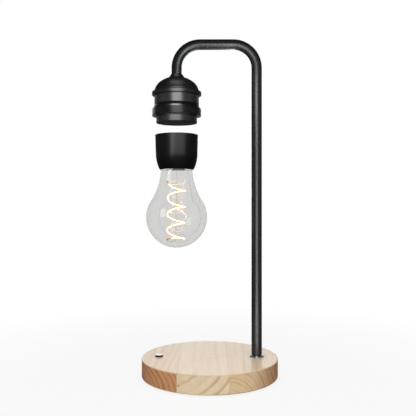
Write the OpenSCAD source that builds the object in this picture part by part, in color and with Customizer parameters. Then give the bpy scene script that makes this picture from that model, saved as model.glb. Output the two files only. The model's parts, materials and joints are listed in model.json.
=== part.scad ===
// Levitating bulb desk lamp. A round wooden base with a wireless phone charger carries one bent
// tube. The head on the tube's end holds a light bulb in the air below it with a magnetic field,
// and sends it power through a pair of coils.
// Millimetres. The origin is the middle of the base on the table, +Z is up, +X points to the pole
// and -Y is the front.

/* [Base] */
// Diameter of the wooden base
base_d = 150; // [140:1:180]
// Thickness of the wooden base
base_h = 20; // [18:0.5:28]
// Round along the edges of the wooden base
base_edge_r = 1; // [0.5:0.1:2]
// Width of the solid rim of wood around the pocket
rim_w = 12; // [11:0.5:15]
// Wood left above the pocket
web_t = 7; // [5.5:0.5:8]
// Wood left above the charging coil
coil_web_t = 3; // [2:0.5:4]
// Width of the ledge that the bottom plate is screwed to
ledge_w = 7; // [6:0.5:9]
// Thickness of the steel bottom plate
plate_t = 1.6; // [1.2:0.1:2.4]
// Height of the rubber feet
foot_h = 1.5; // [1:0.1:3]
// Diameter of the rubber feet
foot_d = 14; // [10:0.5:18]
// Radius of the circle that the feet stand on
foot_ring_r = 54; // [40:1:58]

/* [Stand] */
// Overall height of the lamp
lamp_h = 373; // [350:1:420]
// Outer diameter of the tube
tube_d = 11.5; // [10:0.25:13]
// Wall of the tube
tube_wall = 1; // [0.8:0.1:1.5]
// Bend radius of the tube's middle line
bend_r = 26; // [20:0.5:34]
// Distance between the pole's axis and the bulb's axis
arm_reach = 88.7; // [80:0.1:110]
// Gap between the pole's washer and the pocket wall
pole_clear = 1; // [0.5:0.1:3]
// Diameter of the collar at the pole's foot
collar_d = 16.4; // [15.5:0.1:20]
// Height of the collar at the pole's foot
collar_h = 1; // [0.6:0.1:2]
// Thickness of the nuts on the tube's ends
nut_h = 3; // [2.5:0.1:3.2]
// Diameter of the cable inside the tube
lead_d = 3.6; // [2.5:0.1:3.8]

/* [Switch] */
// Diameter of the push button
button_d = 9; // [7:0.1:11]
// Height of the button above the wood
button_proud = 2; // [1.6:0.1:3]
// Travel of the button
button_travel = 1.2; // [0.6:0.1:1.4]
// Height of the button's spring at rest
spring_h = 3.2; // [2.8:0.1:3.6]
// Turns of the button's spring
spring_turns = 2.5; // [1.5:0.5:3]

/* [Electronics] */
// Length of the power board
board_w = 56; // [50:1:62]
// Depth of the power board
board_d = 40; // [36:1:48]
// Thickness of the circuit boards
pcb_t = 1.6; // [1:0.1:2]
// Outer diameter of the charging coil
charge_coil_d = 44; // [36:1:46]
// Turns of the charging coil
charge_turns = 9; // [5:1:10]
// Diameter of the power inlet's nose
jack_d = 8; // [7.5:0.1:8.2]

/* [Head] */
// Drop from the arm's axis to the underside of the head
head_drop = 87.3; // [84:0.1:110]
// Diameter of the straight part of the head
shell_d = 49.4; // [46:0.1:52]
// Wall of the straight part of the head
shell_wall = 2; // [1.5:0.1:2.5]
// Height of the nose below the ring
nose_show = 6.7; // [4:0.1:10]
// Wall of the nose cup
nose_wall = 2; // [1.5:0.1:2.5]
// Floor of the nose cup
nose_floor = 1.6; // [1.2:0.1:2.4]
// Width of the ring beyond the straight part
ring_step = 2.5; // [1.8:0.1:4]
// Height of the ring
ring_h = 14.2; // [13:0.1:20]
// Height of the slope on top of the ring
ring_slope_h = 3.5; // [2.5:0.1:6]
// Straight part that shows between the ring and the bead
shell_show = 8.8; // [6:0.1:12]
// Width of the bead beyond the straight part
bead_step = 2.6; // [1.8:0.1:4]
// Height of the bead
bead_h = 5.1; // [4:0.1:9]
// Radius of the dome's round shoulder
dome_shoulder_r = 15.3; // [13:0.1:16.5]
// Height of the dome above the bead
dome_rise = 16.9; // [16:0.1:20]
// Wall of the dome
dome_wall = 2.2; // [1.6:0.1:2.6]
// Height of the neck on top of the dome
neck_h = 3.9; // [2:0.1:5]
// Height of the lifting coil's bobbin
bobbin_h = 14; // [10:0.5:15]
// Diameter of the iron core
core_d = 10; // [8:0.5:14]
// Diameter of the magnet above the iron core
bias_d = 30; // [24:1:36]
// Height of the magnet above the iron core
bias_h = 4; // [3:0.5:5]

/* [Bulb] */
// Air gap between the head and the floating bulb
float_gap = 12.8; // [8:0.1:18]
// Diameter of the cap at its top
cap_d = 47.8; // [46:0.1:52]
// Height of the cap
cap_h = 38.6; // [37:0.1:46]
// Height of the cap's rounded lower part
cap_turn_h = 16.5; // [14:0.1:18]
// Radius of the cap's rounded lower part
cap_turn_r = 40; // [34:0.5:50]
// Taper of the cap's straight side, in degrees
cap_taper = 2; // [1:0.1:3]
// Wall of the cap
cap_wall = 1.8; // [1.4:0.1:2.2]
// Thickness of the cap's lid
lid_t = 2; // [1.5:0.1:2.6]
// Diameter of the floating magnet
magnet_d = 28; // [22:0.5:32]
// Height of the floating magnet
magnet_h = 8; // [6:0.5:9]
// Diameter of the glass globe
glass_d = 67.2; // [60:0.2:74]
// Diameter of the glass neck
glass_neck_d = 34.6; // [33:0.1:35]
// Radius of the hollow curve between globe and neck
shoulder_r = 70; // [55:1:85]
// Wall of the glass
glass_wall = 0.9; // [0.7:0.1:1.2]
// Length of the glass neck inside the cap
neck_in = 18; // [16:0.5:19]
// Diameter of the glass rod
rod_d = 2.3; // [1.8:0.1:3]
// Length of the glass rod below its press
rod_len = 20; // [12:0.5:24]

/* [Filament] */
// Diameter of the filament
filament_d = 2; // [1.4:0.1:2.4]
// Diameter of the filament's spiral, along its middle line
spiral_d = 19.6; // [16:0.2:24]
// Drop of the spiral for each turn
spiral_pitch = 17.8; // [15:0.1:20]
// Turns from the first right hand bend of the spiral to the last
spiral_turns = 3; // [2:1:3]
// Height that each loop leans up at the front
spiral_lean = 2.5; // [0:0.1:3]
// Tilt of the spiral, in degrees
spiral_tilt = 1.2; // [0:0.1:2]
// Height of the first right hand bend above the globe's middle
spiral_top = 29.5; // [26:0.1:31]
// Diameter of the wires that carry the filament
wire_d = 0.7; // [0.5:0.05:1]

/* [Fits] */
// Clearance between pieces that slip together
slip = 0.1; // [0.05:0.01:0.15]
// Running clearance around the push button
button_run = 0.08; // [0.05:0.01:0.1]
// Gap that loose pieces keep from their neighbours
loose = 0.4; // [0.3:0.05:0.5]

/* [Hidden] */
$fn = 96;

// How far a cutting shape runs past the face it leaves
cut = 0.5;

// Heights and radii of the base
base_r = base_d / 2;
base_z0 = foot_h;
base_z1 = base_z0 + base_h;
plate_z1 = base_z0 + plate_t;
pocket_r = base_r - rim_w;
rebate_r = pocket_r + ledge_w;
web_z = base_z1 - web_t;
foot_edge_r = 0.4;

// Countersunk screws of the bottom plate
plate_screw_count = 4;
plate_screw_ring_r = pocket_r + ledge_w / 2;
plate_screw_r = 1.4;
plate_screw_head_r = 2.5;
plate_screw_head_h = plate_screw_head_r - plate_screw_r;
plate_screw_len = 9;

// Tube, its nuts and its cable
tube_r = tube_d / 2;
tube_bore_r = tube_r - tube_wall;
nut_flats = tube_d + 5;
nut_corner_r = nut_flats / 2 / cos(30);
washer_r = nut_flats / 2 + 1.75;
washer_t = 1;
tube_end = 0.5;
pole_x = pocket_r - washer_r - pole_clear;
bulb_x = pole_x - arm_reach;
arm_z = lamp_h - tube_r;
bend_z = arm_z - bend_r;
pole_nut_z = web_z - washer_t - nut_h;
tube_z0 = pole_nut_z - tube_end;
collar_edge = 0.4;
lead_r = lead_d / 2;
lead_bend_r = 4.5;
lead_z = tube_z0 - loose - lead_r;

// Push button and its switch
button_r = button_d / 2;
button_z1 = base_z1 + button_proud;
button_edge_r = 0.5;
button_stop = 0.1;
button_flange_r = button_r + 0.8;
button_flange_t = 1.2;
button_flange_z1 = web_z - button_stop;
button_flange_z0 = button_flange_z1 - button_flange_t;
button_pin_r = 1.5;
switch_well_r = button_flange_r + 0.2;
switch_body_r = switch_well_r + 0.9;
switch_floor_z = button_flange_z0 - spring_h;
switch_floor_t = 2.5;
switch_z0 = switch_floor_z - switch_floor_t;
switch_x = -(pocket_r - switch_body_r - loose);
switch_ear_y = switch_body_r + 2.6;
switch_ear_w = 6;
switch_ear_t = 2;
spring_wire_r = 0.25;
spring_coil_r = (button_pin_r + button_flange_r) / 2;
spring_rings = 8;
spring_sides = 6;
wire_run_r = 1;
wire_run_z = switch_z0 + switch_floor_t / 2;
terminal_h = 1.2;

// Small screws under the wood
small_screw_r = 1;
small_head_r = 1.9;
small_head_h = 1.4;
small_grip = 4;

// Power board, hung below the wood
standoff_h = 5;
standoff_r = 2.5;
board_z1 = web_z - standoff_h;
board_z0 = board_z1 - pcb_t;
board_hole_in = 4;
connector_l = 5;
connector_w = 8;
connector_drop = 3.6;
connector_h = 5.4;
connector_z1 = web_z - connector_drop;
connector_z0 = connector_z1 - connector_h;
chip_h = 1.2;
choke_r = 5;
choke_h = 3.6;
can_r = 3;
can_h = 4;

// Power inlet at the back
jack_r = jack_d / 2;
jack_drop = 5.2;
jack_z = web_z - jack_drop;
jack_sink = 0.5;
jack_body_w = 9;
jack_body_h = 8;
jack_body_l = 12;
jack_y1 = base_r - jack_sink;
jack_body_y1 = sqrt(pow(pocket_r, 2) - pow(jack_body_w / 2, 2)) - loose;
jack_bore_r = 3.15;
jack_bore_l = 9.5;
jack_pin_r = 1;
jack_pin_in = 1.2;
jack_lead_r = 1.1;

// Charging coil in its recess below the wood
charge_r = charge_coil_d / 2;
charge_recess_r = charge_r + loose;
charge_z1 = base_z1 - coil_web_t;
coil_h = 1.2;
ferrite_t = 1;
charge_inner_r = 10;

// Flat coils
coil_gap = 0.5;
coil_steps = 20;

// Heights and radii of the head
shell_r = shell_d / 2;
shell_bore_r = shell_r - shell_wall;
nose_r = shell_bore_r - slip;
nose_bore_r = nose_r - nose_wall;
nose_z0 = arm_z - head_drop;
nose_floor_z = nose_z0 + nose_floor;
nose_edge_r = 0.4;
ring_r = shell_r + ring_step;
ring_z0 = nose_z0 + nose_show;
ring_z1 = ring_z0 + ring_h;
ring_lip_t = 1.2;
ring_lip_z = ring_z0 + ring_lip_t;
ring_land = 0.3;
ring_edge = 0.4;
nose_flange_t = 1.5;
nose_flange_r = shell_r;
shell_z0 = ring_lip_z + nose_flange_t;
groove_h = 1;
groove_depth = 0.7;
bead_r = shell_r + bead_step;
bead_z0 = ring_z1 + shell_show;
bead_z1 = bead_z0 + bead_h;
bead_top_r = 1;
bead_bottom_r = 0.4;
dome_seat_z = bead_z1 - 1.2;
dome_r = shell_r + 0.2;
dome_sink = 1.75;
dome_mid_z = bead_z1 - dome_sink;
dome_z1 = bead_z1 + dome_rise;
dome_h = dome_z1 - dome_mid_z;
shoulder_in_r = dome_r - dome_shoulder_r;
crown_r = (dome_h + dome_shoulder_r) / 2 + pow(shoulder_in_r, 2) / (2 * (dome_h - dome_shoulder_r));
crown_z = dome_z1 - crown_r;
crown_turn = atan2(dome_mid_z - crown_z, shoulder_in_r);
neck_top_r = tube_r + 0.5;
neck_foot_r = tube_r + 3.2;
neck_z0 = crown_z + sqrt(pow(crown_r, 2) - pow(neck_foot_r, 2));
neck_z1 = neck_z0 + neck_h;
boss_r = nut_corner_r + 0.6;
boss_drop = 5.5;
boss_z = dome_z1 - boss_drop;
head_nut_z = boss_z - nut_h;
tube_head_z = head_nut_z - tube_end;

// Levitation unit, stacked on the floor of the nose
transmit_z1 = nose_floor_z + coil_h;
transmit_r = nose_bore_r - loose;
transmit_inner_r = 9;
transmit_turns = 6;
sensor_z1 = transmit_z1 + pcb_t;
sensor_r = nose_bore_r - slip;
bobbin_z0 = sensor_z1;
bobbin_z1 = bobbin_z0 + bobbin_h;
bobbin_r = nose_bore_r - slip;
bobbin_flange_t = 1.2;
core_r = core_d / 2;
hub_r = core_r + 2;
winding_r = bobbin_r - 1.4;
nose_z1 = bobbin_z1 - bobbin_flange_t;
bias_z1 = bobbin_z1 + bias_h;
driver_ledge_z = bias_z1 + 1.6;
driver_ledge_t = 1.5;
driver_ledge_r = shell_bore_r - 1.8;
driver_r = shell_bore_r - slip;
driver_z1 = driver_ledge_z + pcb_t;

// Heights and radii of the floating cap
cap_z1 = nose_z0 - float_gap;
cap_z0 = cap_z1 - cap_h;
cap_side_h = cap_h - cap_turn_h;
cap_r1 = cap_d / 2;
cap_r0 = cap_r1 - cap_side_h * tan(cap_taper);
cap_turn_z = cap_z0 + cap_turn_h;
cap_turn_mid = [cap_r0 - cap_turn_r * cos(cap_taper), cap_turn_z + cap_turn_r * sin(cap_taper)];
cap_turn_fn = 3 * $fn;
cap_edge_r = 0.7;
cap_mouth_gap = 0.2;
cap_mouth_h = 4;
cap_mouth_r = glass_neck_d / 2 + cap_mouth_gap;
lid_r = cap_r1 - cap_wall + 0.4;
lid_z0 = cap_z1 - lid_t;
magnet_r = magnet_d / 2;
magnet_z0 = lid_z0 - magnet_h;
magnet_well_r = magnet_r + slip;
magnet_well_wall = 1.2;
receive_inner_r = magnet_well_r + magnet_well_wall + loose;
receive_r = lid_r - 2;
receive_turns = 3;

// Glass globe
glass_r = glass_d / 2;
glass_neck_r = glass_neck_d / 2;
shoulder_h = sqrt(pow(glass_r + shoulder_r, 2) - pow(glass_neck_r + shoulder_r, 2));
shoulder_in = 3;
globe_z = cap_z0 + shoulder_in - shoulder_h;
glass_neck_l = neck_in - shoulder_in;
glass_neck_z1 = cap_z0 + neck_in;
cement_in = 3;
cement_z0 = cap_z0 + cement_in;
cement_h = 4;

// Receiver board above the glass neck
receiver_ledge_z = glass_neck_z1 + 3;
receiver_ledge_t = 1.4;
receiver_r = cap_inner_r(receiver_ledge_z) - 0.3;
receiver_ledge_r = receiver_r - 2;

// Glass foot: a flare that closes the neck, a press and a rod
flare_wall = 0.8;
flare_r = glass_neck_r - glass_wall - 0.05;
press_r = 3.2;
flare_curve_r = flare_r - press_r;
flare_z0 = glass_neck_z1 - flare_curve_r;
press_h = 3.4;
press_z0 = flare_z0 - press_h;
rod_r = rod_d / 2;
rod_z0 = press_z0 - rod_len;

// Spiral of the filament, seen from above it turns clockwise on its way down
filament_r = filament_d / 2;
spiral_r = spiral_d / 2;
spiral_start = -168;
spiral_tail = 360 * spiral_turns;
spiral_tail_turn = 138;
spiral_end = spiral_tail + spiral_tail_turn;
tail_pitch = 4;
spiral_z = globe_z + spiral_top;
loop_rings = 24;
loop_sides = 6;
wire_r = wire_d / 2;
tip_r = 0.9;
tip_l = 2.6;
wire_step = 1;
wire_seat = 0.02;
wire_sides = 8;

// Radius of the cap's inside at a height on its straight side
function cap_inner_r(z) = cap_r1 - (cap_z1 - z) * tan(cap_taper) - cap_wall;

// Vector of length one
function unit(v) = v / norm(v);

// Point of a spiral at an angle, with its loops leaning up at the front
function spiral_point(a, r, lean, drop) = [r * cos(a), -r * sin(a), lean * sin(a) - drop];

// Drop of the filament at an angle, level in its tail
function filament_drop(a) = a < spiral_tail
  ? spiral_pitch * a / 360
  : spiral_pitch * spiral_tail / 360 + tail_pitch * (a - spiral_tail) / 360;

// Point tilted about the end of the glass rod
function tilted(p) =
  let (pivot = rod_z0 - spiral_z, z = p[2] - pivot)
  [p[0] * cos(spiral_tilt) + z * sin(spiral_tilt), p[1], pivot + z * cos(spiral_tilt) - p[0] * sin(spiral_tilt)];

// Middle line of the filament, around the bulb's axis and from the height of its first right bend
function filament_at(a) = tilted(spiral_point(a, spiral_r, spiral_lean, filament_drop(a)));

// Points along the filament, a fixed number for each turn
filament_steps = ceil((spiral_end - spiral_start) / 360 * loop_rings);
filament_line = [
  for (i = [0 : filament_steps])
    filament_at(spiral_start + (spiral_end - spiral_start) * i / filament_steps)
];

// Directions in which the two ends of the filament point away from it
filament_first = filament_line[0];
filament_last = filament_line[filament_steps];
filament_out_first = unit(filament_line[0] - filament_line[1]);
filament_out_last = unit(filament_line[filament_steps] - filament_line[filament_steps - 1]);

// Middle line of the button's spring, with a level turn at each end
spring_steps = spring_turns * spring_rings;
spring_seat = 0.05;
spring_rise = spring_h - 2 * spring_wire_r - 2 * spring_seat;
spring_line = [
  for (i = [0 : spring_steps])
    spiral_point(360 * i / spring_rings, spring_coil_r, 0, -spring_rise * i / spring_steps)
];

// Direction of a line of points at one of them
function heading(line, i) = unit(line[min(i + 1, len(line) - 1)] - line[max(i - 1, 0)]);

// Ring of points around a line, its first point towards the vector side
function tube_ring(line, i, r, sides, side) =
  let (
    along = heading(line, i),
    across = unit(side - (side * along) * along),
    up = cross(along, across)
  )
  [for (k = [0 : sides - 1]) line[i] + r * (cos(360 * k / sides) * across + sin(360 * k / sides) * up)];

// Least gap between turns of a tube along a line, measured over its points
function least_gap(line, r, apart) = min([
  for (i = [0 : len(line) - 1 - apart])
    for (j = [i + apart : len(line) - 1])
      norm(line[i] - line[j]) - 2 * r
]);

echo(filament_least_gap = least_gap(filament_line, filament_r, loop_rings / 2));
echo(spring_least_gap = least_gap(spring_line, spring_wire_r, spring_rings / 2));

// Axis of the pole
module at_pole() {
  translate([pole_x, 0, 0]) children();
}

// Axis of the head and the bulb
module at_bulb() {
  translate([bulb_x, 0, 0]) children();
}

// Axis of the push button
module at_switch() {
  translate([switch_x, 0, 0]) children();
}

// Axis of the power inlet, with its Z towards the back
module at_jack(y) {
  translate([0, y, jack_z]) rotate([-90, 0, 0]) children();
}

// Place of the filament's spiral
module at_spiral() {
  translate([bulb_x, 0, spiral_z]) children();
}

// Screws of the bottom plate
module at_plate_screws() {
  for (i = [0 : plate_screw_count - 1])
    rotate(45 + 360 * i / plate_screw_count) translate([plate_screw_ring_r, 0, 0]) children();
}

// Corner holes of the power board
module at_board_holes() {
  for (sx = [-1, 1], sy = [-1, 1])
    translate([sx * (board_w / 2 - board_hole_in), sy * (board_d / 2 - board_hole_in), 0]) children();
}

// Ears of the switch
module at_switch_ears() {
  for (side = [-1, 1]) at_switch() translate([0, side * switch_ear_y, 0]) children();
}

// Solid drum between two heights
module drum(r, z0, z1) {
  translate([0, 0, z0]) cylinder(r = r, h = z1 - z0);
}

// Plain ring between two heights
module hoop(r_out, r_in, z0, z1) {
  difference() {
    drum(r_out, z0, z1);
    drum(r_in, z0 - cut, z1 + cut);
  }
}

// Outline between two radii and two heights
module section(r0, r1, z0, z1) {
  translate([r0, z0]) square([r1 - r0, z1 - z0]);
}

// What a round takes off a corner, turned from the upper right corner
module corner_waste(corner, r, turn) {
  translate(corner) rotate(turn) translate([-r, -r]) difference() {
    square(r + cut);
    circle(r = r);
  }
}

// Six sided nut on the tube
module tube_nut(z0) {
  difference() {
    translate([0, 0, z0]) rotate(30) cylinder(r = nut_corner_r, h = nut_h, $fn = 6);
    drum(tube_r + slip, z0 - cut, z0 + nut_h + cut);
  }
}

// Round outline, open in the middle where it has a bore
module round_outline(r, bore) {
  difference() {
    circle(r = r);
    if (bore > 0) circle(r = bore);
  }
}

// Quarter of a bent bar or tube, standing in the plane of the arm
module quarter_bend(bend, r, bore, start) {
  rotate([90, 0, 0]) rotate_extrude(angle = 90, start = start) translate([bend, 0]) round_outline(r, bore);
}

// Bar or tube along the pole, the arm and the drop to the head
module arm_run(r, bore, z_pole, z_head) {
  at_pole() translate([0, 0, z_pole]) linear_extrude(bend_z - z_pole) round_outline(r, bore);
  translate([pole_x - bend_r, 0, bend_z]) quarter_bend(bend_r, r, bore, 0);
  translate([bulb_x + bend_r, 0, arm_z]) rotate([0, 90, 0])
    linear_extrude(arm_reach - 2 * bend_r) round_outline(r, bore);
  translate([bulb_x + bend_r, 0, bend_z]) quarter_bend(bend_r, r, bore, 90);
  at_bulb() translate([0, 0, z_head]) linear_extrude(bend_z - z_head) round_outline(r, bore);
}

// Flat spiral winding of round turns between two radii
module flat_coil(r_in, r_out, turns, z0, z1) {
  step = (r_out - r_in) / (turns + 1);
  width = step - coil_gap;
  count = turns * coil_steps;
  inner = [for (i = [0 : count]) spiral_edge(r_in + step * i / coil_steps, i)];
  outer = [for (i = [count : -1 : 0]) spiral_edge(r_in + width + step * i / coil_steps, i)];
  translate([0, 0, z0]) linear_extrude(z1 - z0) polygon(concat(inner, outer));
}

// Point on an edge of a flat winding
function spiral_edge(r, i) = [r * cos(360 * i / coil_steps), r * sin(360 * i / coil_steps)];

// Closed tube along a line of points
module tube_along(line, r, sides, side) {
  last = len(line) - 1;
  points = [for (i = [0 : last]) each tube_ring(line, i, r, sides, side)];
  walls = [
    for (i = [0 : last - 1], k = [0 : sides - 1])
      let (a = i * sides + k, b = i * sides + (k + 1) % sides)
      each [[a, a + sides, b], [b, a + sides, b + sides]]
  ];
  first_cap = [for (k = [1 : sides - 2]) [0, k, k + 1]];
  last_cap = [for (k = [1 : sides - 2]) [last * sides, last * sides + k + 1, last * sides + k]];
  polyhedron(points = points, faces = concat(walls, first_cap, last_cap));
}

// Round rod from one point to another
module rod(a, b, r) {
  v = b - a;
  translate(a) rotate([0, acos(v[2] / norm(v)), atan2(v[1], v[0])]) cylinder(r = r, h = norm(v));
}

// Pan head screw pointing up, from its head's upper face
module small_screw(z, len) {
  drum(small_head_r, z - small_head_h, z);
  drum(small_screw_r, z - small_head_h / 2, z + len);
}

// Wooden base, hollowed from below
module base_disc() {
  color("burlywood") difference() {
    rotate_extrude() difference() {
      section(0, base_r, base_z0, base_z1);
      corner_waste([base_r, base_z1], base_edge_r, 0);
      corner_waste([base_r, base_z0], base_edge_r, -90);
    }
    drum(rebate_r, base_z0 - cut, plate_z1);
    drum(pocket_r, base_z0 - cut, web_z);
    drum(charge_recess_r, web_z - cut, charge_z1);
    at_pole() drum(tube_r + slip, web_z - cut, base_z1 + cut);
    at_switch() drum(button_r + button_run, web_z - cut, base_z1 + cut);
    at_jack(pocket_r - jack_body_l) drum(jack_r + slip, 0, base_r);
    at_plate_screws() drum(plate_screw_r + slip, plate_z1 - cut, base_z0 + plate_screw_len + loose);
    at_board_holes() drum(small_screw_r + slip, web_z - cut, web_z + small_grip + loose);
    at_switch_ears() drum(small_screw_r + slip, web_z - cut, web_z + small_grip + loose);
  }
}

// Steel plate that closes the base and gives it weight
module bottom_plate() {
  color("dimgray") difference() {
    drum(rebate_r - slip, base_z0, plate_z1);
    at_plate_screws() {
      translate([0, 0, base_z0 - cut]) cylinder(
        r1 = plate_screw_head_r + slip + cut, r2 = plate_screw_r + slip, h = plate_screw_head_h + cut);
      drum(plate_screw_r + slip, base_z0, plate_z1 + cut);
    }
  }
}

// Countersunk screws of the bottom plate
module plate_screws() {
  color("silver") at_plate_screws() {
    translate([0, 0, base_z0]) cylinder(r1 = plate_screw_head_r, r2 = plate_screw_r, h = plate_screw_head_h);
    drum(plate_screw_r, base_z0 + plate_screw_head_h / 2, base_z0 + plate_screw_len);
  }
}

// Rubber feet on the bottom plate
module rubber_feet() {
  color("black") for (turn = [0 : 90 : 270]) rotate(turn) translate([foot_ring_r, 0, 0])
    rotate_extrude() difference() {
      section(0, foot_d / 2, 0, foot_h);
      corner_waste([foot_d / 2, 0], foot_edge_r, -90);
    }
}

// Bent tube that carries the head
module arm_tube() {
  color("#2b2b2d") arm_run(tube_r, tube_bore_r, tube_z0, tube_head_z);
}

// Collar around the pole on top of the wood
module pole_collar() {
  color("silver") at_pole() rotate_extrude() polygon([
    [tube_r + slip, base_z1],
    [collar_d / 2, base_z1],
    [collar_d / 2, base_z1 + collar_h - collar_edge],
    [collar_d / 2 - collar_edge, base_z1 + collar_h],
    [tube_r + slip, base_z1 + collar_h]
  ]);
}

// Washer below the wood
module pole_washer() {
  color("silver") at_pole() hoop(washer_r, tube_r + slip, web_z - washer_t, web_z);
}

// Nut that clamps the tube in the wood
module pole_nut() {
  color("gainsboro") at_pole() tube_nut(pole_nut_z);
}

// Cable from the power board through the tube to the head
module head_lead() {
  color("#1a1a1a") {
    arm_run(lead_r, 0, lead_z + lead_bend_r, driver_z1);
    translate([pole_x - lead_bend_r, 0, lead_z + lead_bend_r]) quarter_bend(lead_bend_r, lead_r, 0, 270);
    rod([board_w / 2 + connector_l, 0, lead_z], [pole_x - lead_bend_r, 0, lead_z], lead_r);
  }
}

// Push button with the flange that keeps it in the wood
module switch_button() {
  color("silver") at_switch() {
    rotate_extrude() difference() {
      section(0, button_r, button_flange_z0, button_z1);
      corner_waste([button_r, button_z1], button_edge_r, 0);
    }
    drum(button_flange_r, button_flange_z0, button_flange_z1);
    drum(button_pin_r, switch_floor_z + button_travel + button_stop, button_flange_z0 + cut);
  }
}

// Return spring below the button's flange
module switch_spring() {
  color("lightsteelblue") at_switch() translate([0, 0, switch_floor_z + spring_wire_r + spring_seat])
    tube_along(spring_line, spring_wire_r, spring_sides, [0, 0, 1]);
}

// Switch housing screwed up to the wood
module switch_body() {
  color("#303030") difference() {
    union() {
      at_switch() drum(switch_body_r, switch_z0, web_z);
      at_switch_ears() drum(switch_ear_w / 2, web_z - switch_ear_t, web_z);
      translate([switch_x - switch_ear_w / 2, -switch_ear_y, web_z - switch_ear_t])
        cube([switch_ear_w, 2 * switch_ear_y, switch_ear_t]);
      for (side = [-1, 1]) translate([switch_x, side * switch_body_r / 2, switch_z0 - terminal_h])
        cylinder(r = small_screw_r, h = terminal_h + cut);
    }
    at_switch() drum(switch_well_r, switch_floor_z, web_z + cut);
    at_switch_ears() drum(small_screw_r + slip, web_z - switch_ear_t - cut, web_z + cut);
  }
}

// Screws through the switch's ears
module switch_screws() {
  color("silver") at_switch_ears() small_screw(web_z - switch_ear_t, switch_ear_t + small_grip);
}

// Wire from the switch to the power board
module switch_wire() {
  color("firebrick") rod(
    [switch_x + switch_body_r, 0, wire_run_z], [-board_w / 2 - connector_l, 0, wire_run_z], wire_run_r);
}

// Board with its connectors, coil, capacitors and chips
module power_board() {
  color("seagreen") {
    difference() {
      translate([-board_w / 2, -board_d / 2, board_z0]) cube([board_w, board_d, pcb_t]);
      at_board_holes() drum(small_screw_r + slip, board_z0 - cut, board_z1 + cut);
    }
    for (side = [-1, 1])
      translate([side * (board_w + connector_l) / 2, 0, (connector_z0 + connector_z1) / 2])
        cube([connector_l, connector_w, connector_z1 - connector_z0], center = true);
    translate([0, (board_d + connector_l) / 2, (connector_z0 + connector_z1) / 2])
      cube([connector_w, connector_l, connector_z1 - connector_z0], center = true);
    translate([-board_w / 5, 0, 0]) drum(choke_r, board_z1 - pcb_t / 2, board_z1 + choke_h);
    for (side = [-1, 1])
      translate([board_w / 4, side * board_d / 5, 0]) drum(can_r, board_z1 - pcb_t / 2, board_z1 + can_h);
    translate([0, -board_d / 4, board_z1]) cube([connector_w, connector_l, 2 * chip_h], center = true);
  }
}

// Spacers between the board and the wood
module board_standoffs() {
  color("whitesmoke") at_board_holes() hoop(standoff_r, small_screw_r + slip, board_z1, web_z);
}

// Screws through the board and its spacers
module board_screws() {
  color("silver") at_board_holes() small_screw(board_z0, pcb_t + standoff_h + small_grip);
}

// Power inlet with its centre pin
module dc_jack() {
  color("#202020") {
    difference() {
      union() {
        translate([-jack_body_w / 2, jack_body_y1 - jack_body_l, jack_z - jack_body_h / 2])
          cube([jack_body_w, jack_body_l, jack_body_h]);
        at_jack(jack_body_y1 - cut) drum(jack_r, 0, jack_y1 - jack_body_y1 + cut);
      }
      at_jack(jack_y1 - jack_bore_l) drum(jack_bore_r, 0, jack_bore_l + cut);
    }
    at_jack(jack_y1 - jack_bore_l - cut) drum(jack_pin_r, 0, jack_bore_l - jack_pin_in + cut);
  }
}

// Wire from the inlet to the board
module jack_lead() {
  color("firebrick") rod(
    [0, jack_body_y1 - jack_body_l, jack_z], [0, board_d / 2 + connector_l, jack_z], jack_lead_r);
}

// Phone charging coil against the thin wood
module charging_coil() {
  color("peru") flat_coil(charge_inner_r, charge_r, charge_turns, charge_z1 - coil_h, charge_z1);
}

// Ferrite sheet below the charging coil
module charging_ferrite() {
  color("#3a3a3a") drum(charge_r, charge_z1 - coil_h - ferrite_t, charge_z1 - coil_h);
}

// Outline of the dome, a round shoulder under a flatter crown, drawn in by an inset and above a height
module dome_outline(inset, z0) {
  crown_reach = (crown_r - inset) * cos(crown_turn);
  intersection() {
    translate([0, crown_z]) circle(r = crown_r - inset);
    section(0, crown_reach, z0, dome_z1);
  }
  intersection() {
    translate([shoulder_in_r, dome_mid_z]) circle(r = dome_shoulder_r - inset);
    section(shoulder_in_r, dome_r, z0, dome_z1);
  }
}

// Domed top of the head with its neck and its bead
module head_dome() {
  color("#1c1c1c") at_bulb() rotate_extrude() difference() {
    union() {
      dome_outline(0, bead_z1 - cut);
      difference() {
        section(0, bead_r, bead_z0, bead_z1);
        corner_waste([bead_r, bead_z1], bead_top_r, 0);
        corner_waste([bead_r, bead_z0], bead_bottom_r, -90);
      }
      polygon([[0, neck_z0], [neck_foot_r, neck_z0], [neck_top_r, neck_z1], [0, neck_z1]]);
    }
    difference() {
      dome_outline(dome_wall, dome_seat_z - cut);
      section(0, boss_r, boss_z, dome_z1);
    }
    section(0, shell_r + slip, bead_z0 - cut, dome_seat_z);
    section(0, tube_r + slip, boss_z - cut, neck_z1 + cut);
  }
}

// Nut that locks the dome on the tube
module head_nut() {
  color("gainsboro") at_bulb() tube_nut(head_nut_z);
}

// Straight part of the head, with a shadow groove above the ring and a ledge for the driver board
module head_shell() {
  color("#1c1c1c") at_bulb() rotate_extrude() {
    difference() {
      section(shell_bore_r, shell_r, shell_z0, dome_seat_z);
      section(shell_r - groove_depth, shell_r + cut, ring_z1, ring_z1 + groove_h);
    }
    section(driver_ledge_r, shell_bore_r + shell_wall / 2, driver_ledge_z - driver_ledge_t, driver_ledge_z);
  }
}

// Ring with a sloping top, screwed up the straight part to hold the nose
module head_ring() {
  color("#1c1c1c") at_bulb() rotate_extrude() polygon([
    [nose_r + slip, ring_z0],
    [ring_r - ring_edge, ring_z0],
    [ring_r, ring_z0 + ring_edge],
    [ring_r, ring_z1 - ring_slope_h],
    [shell_r + slip + ring_land, ring_z1],
    [shell_r + slip, ring_z1],
    [shell_r + slip, ring_lip_z],
    [nose_r + slip, ring_lip_z]
  ]);
}

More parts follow.
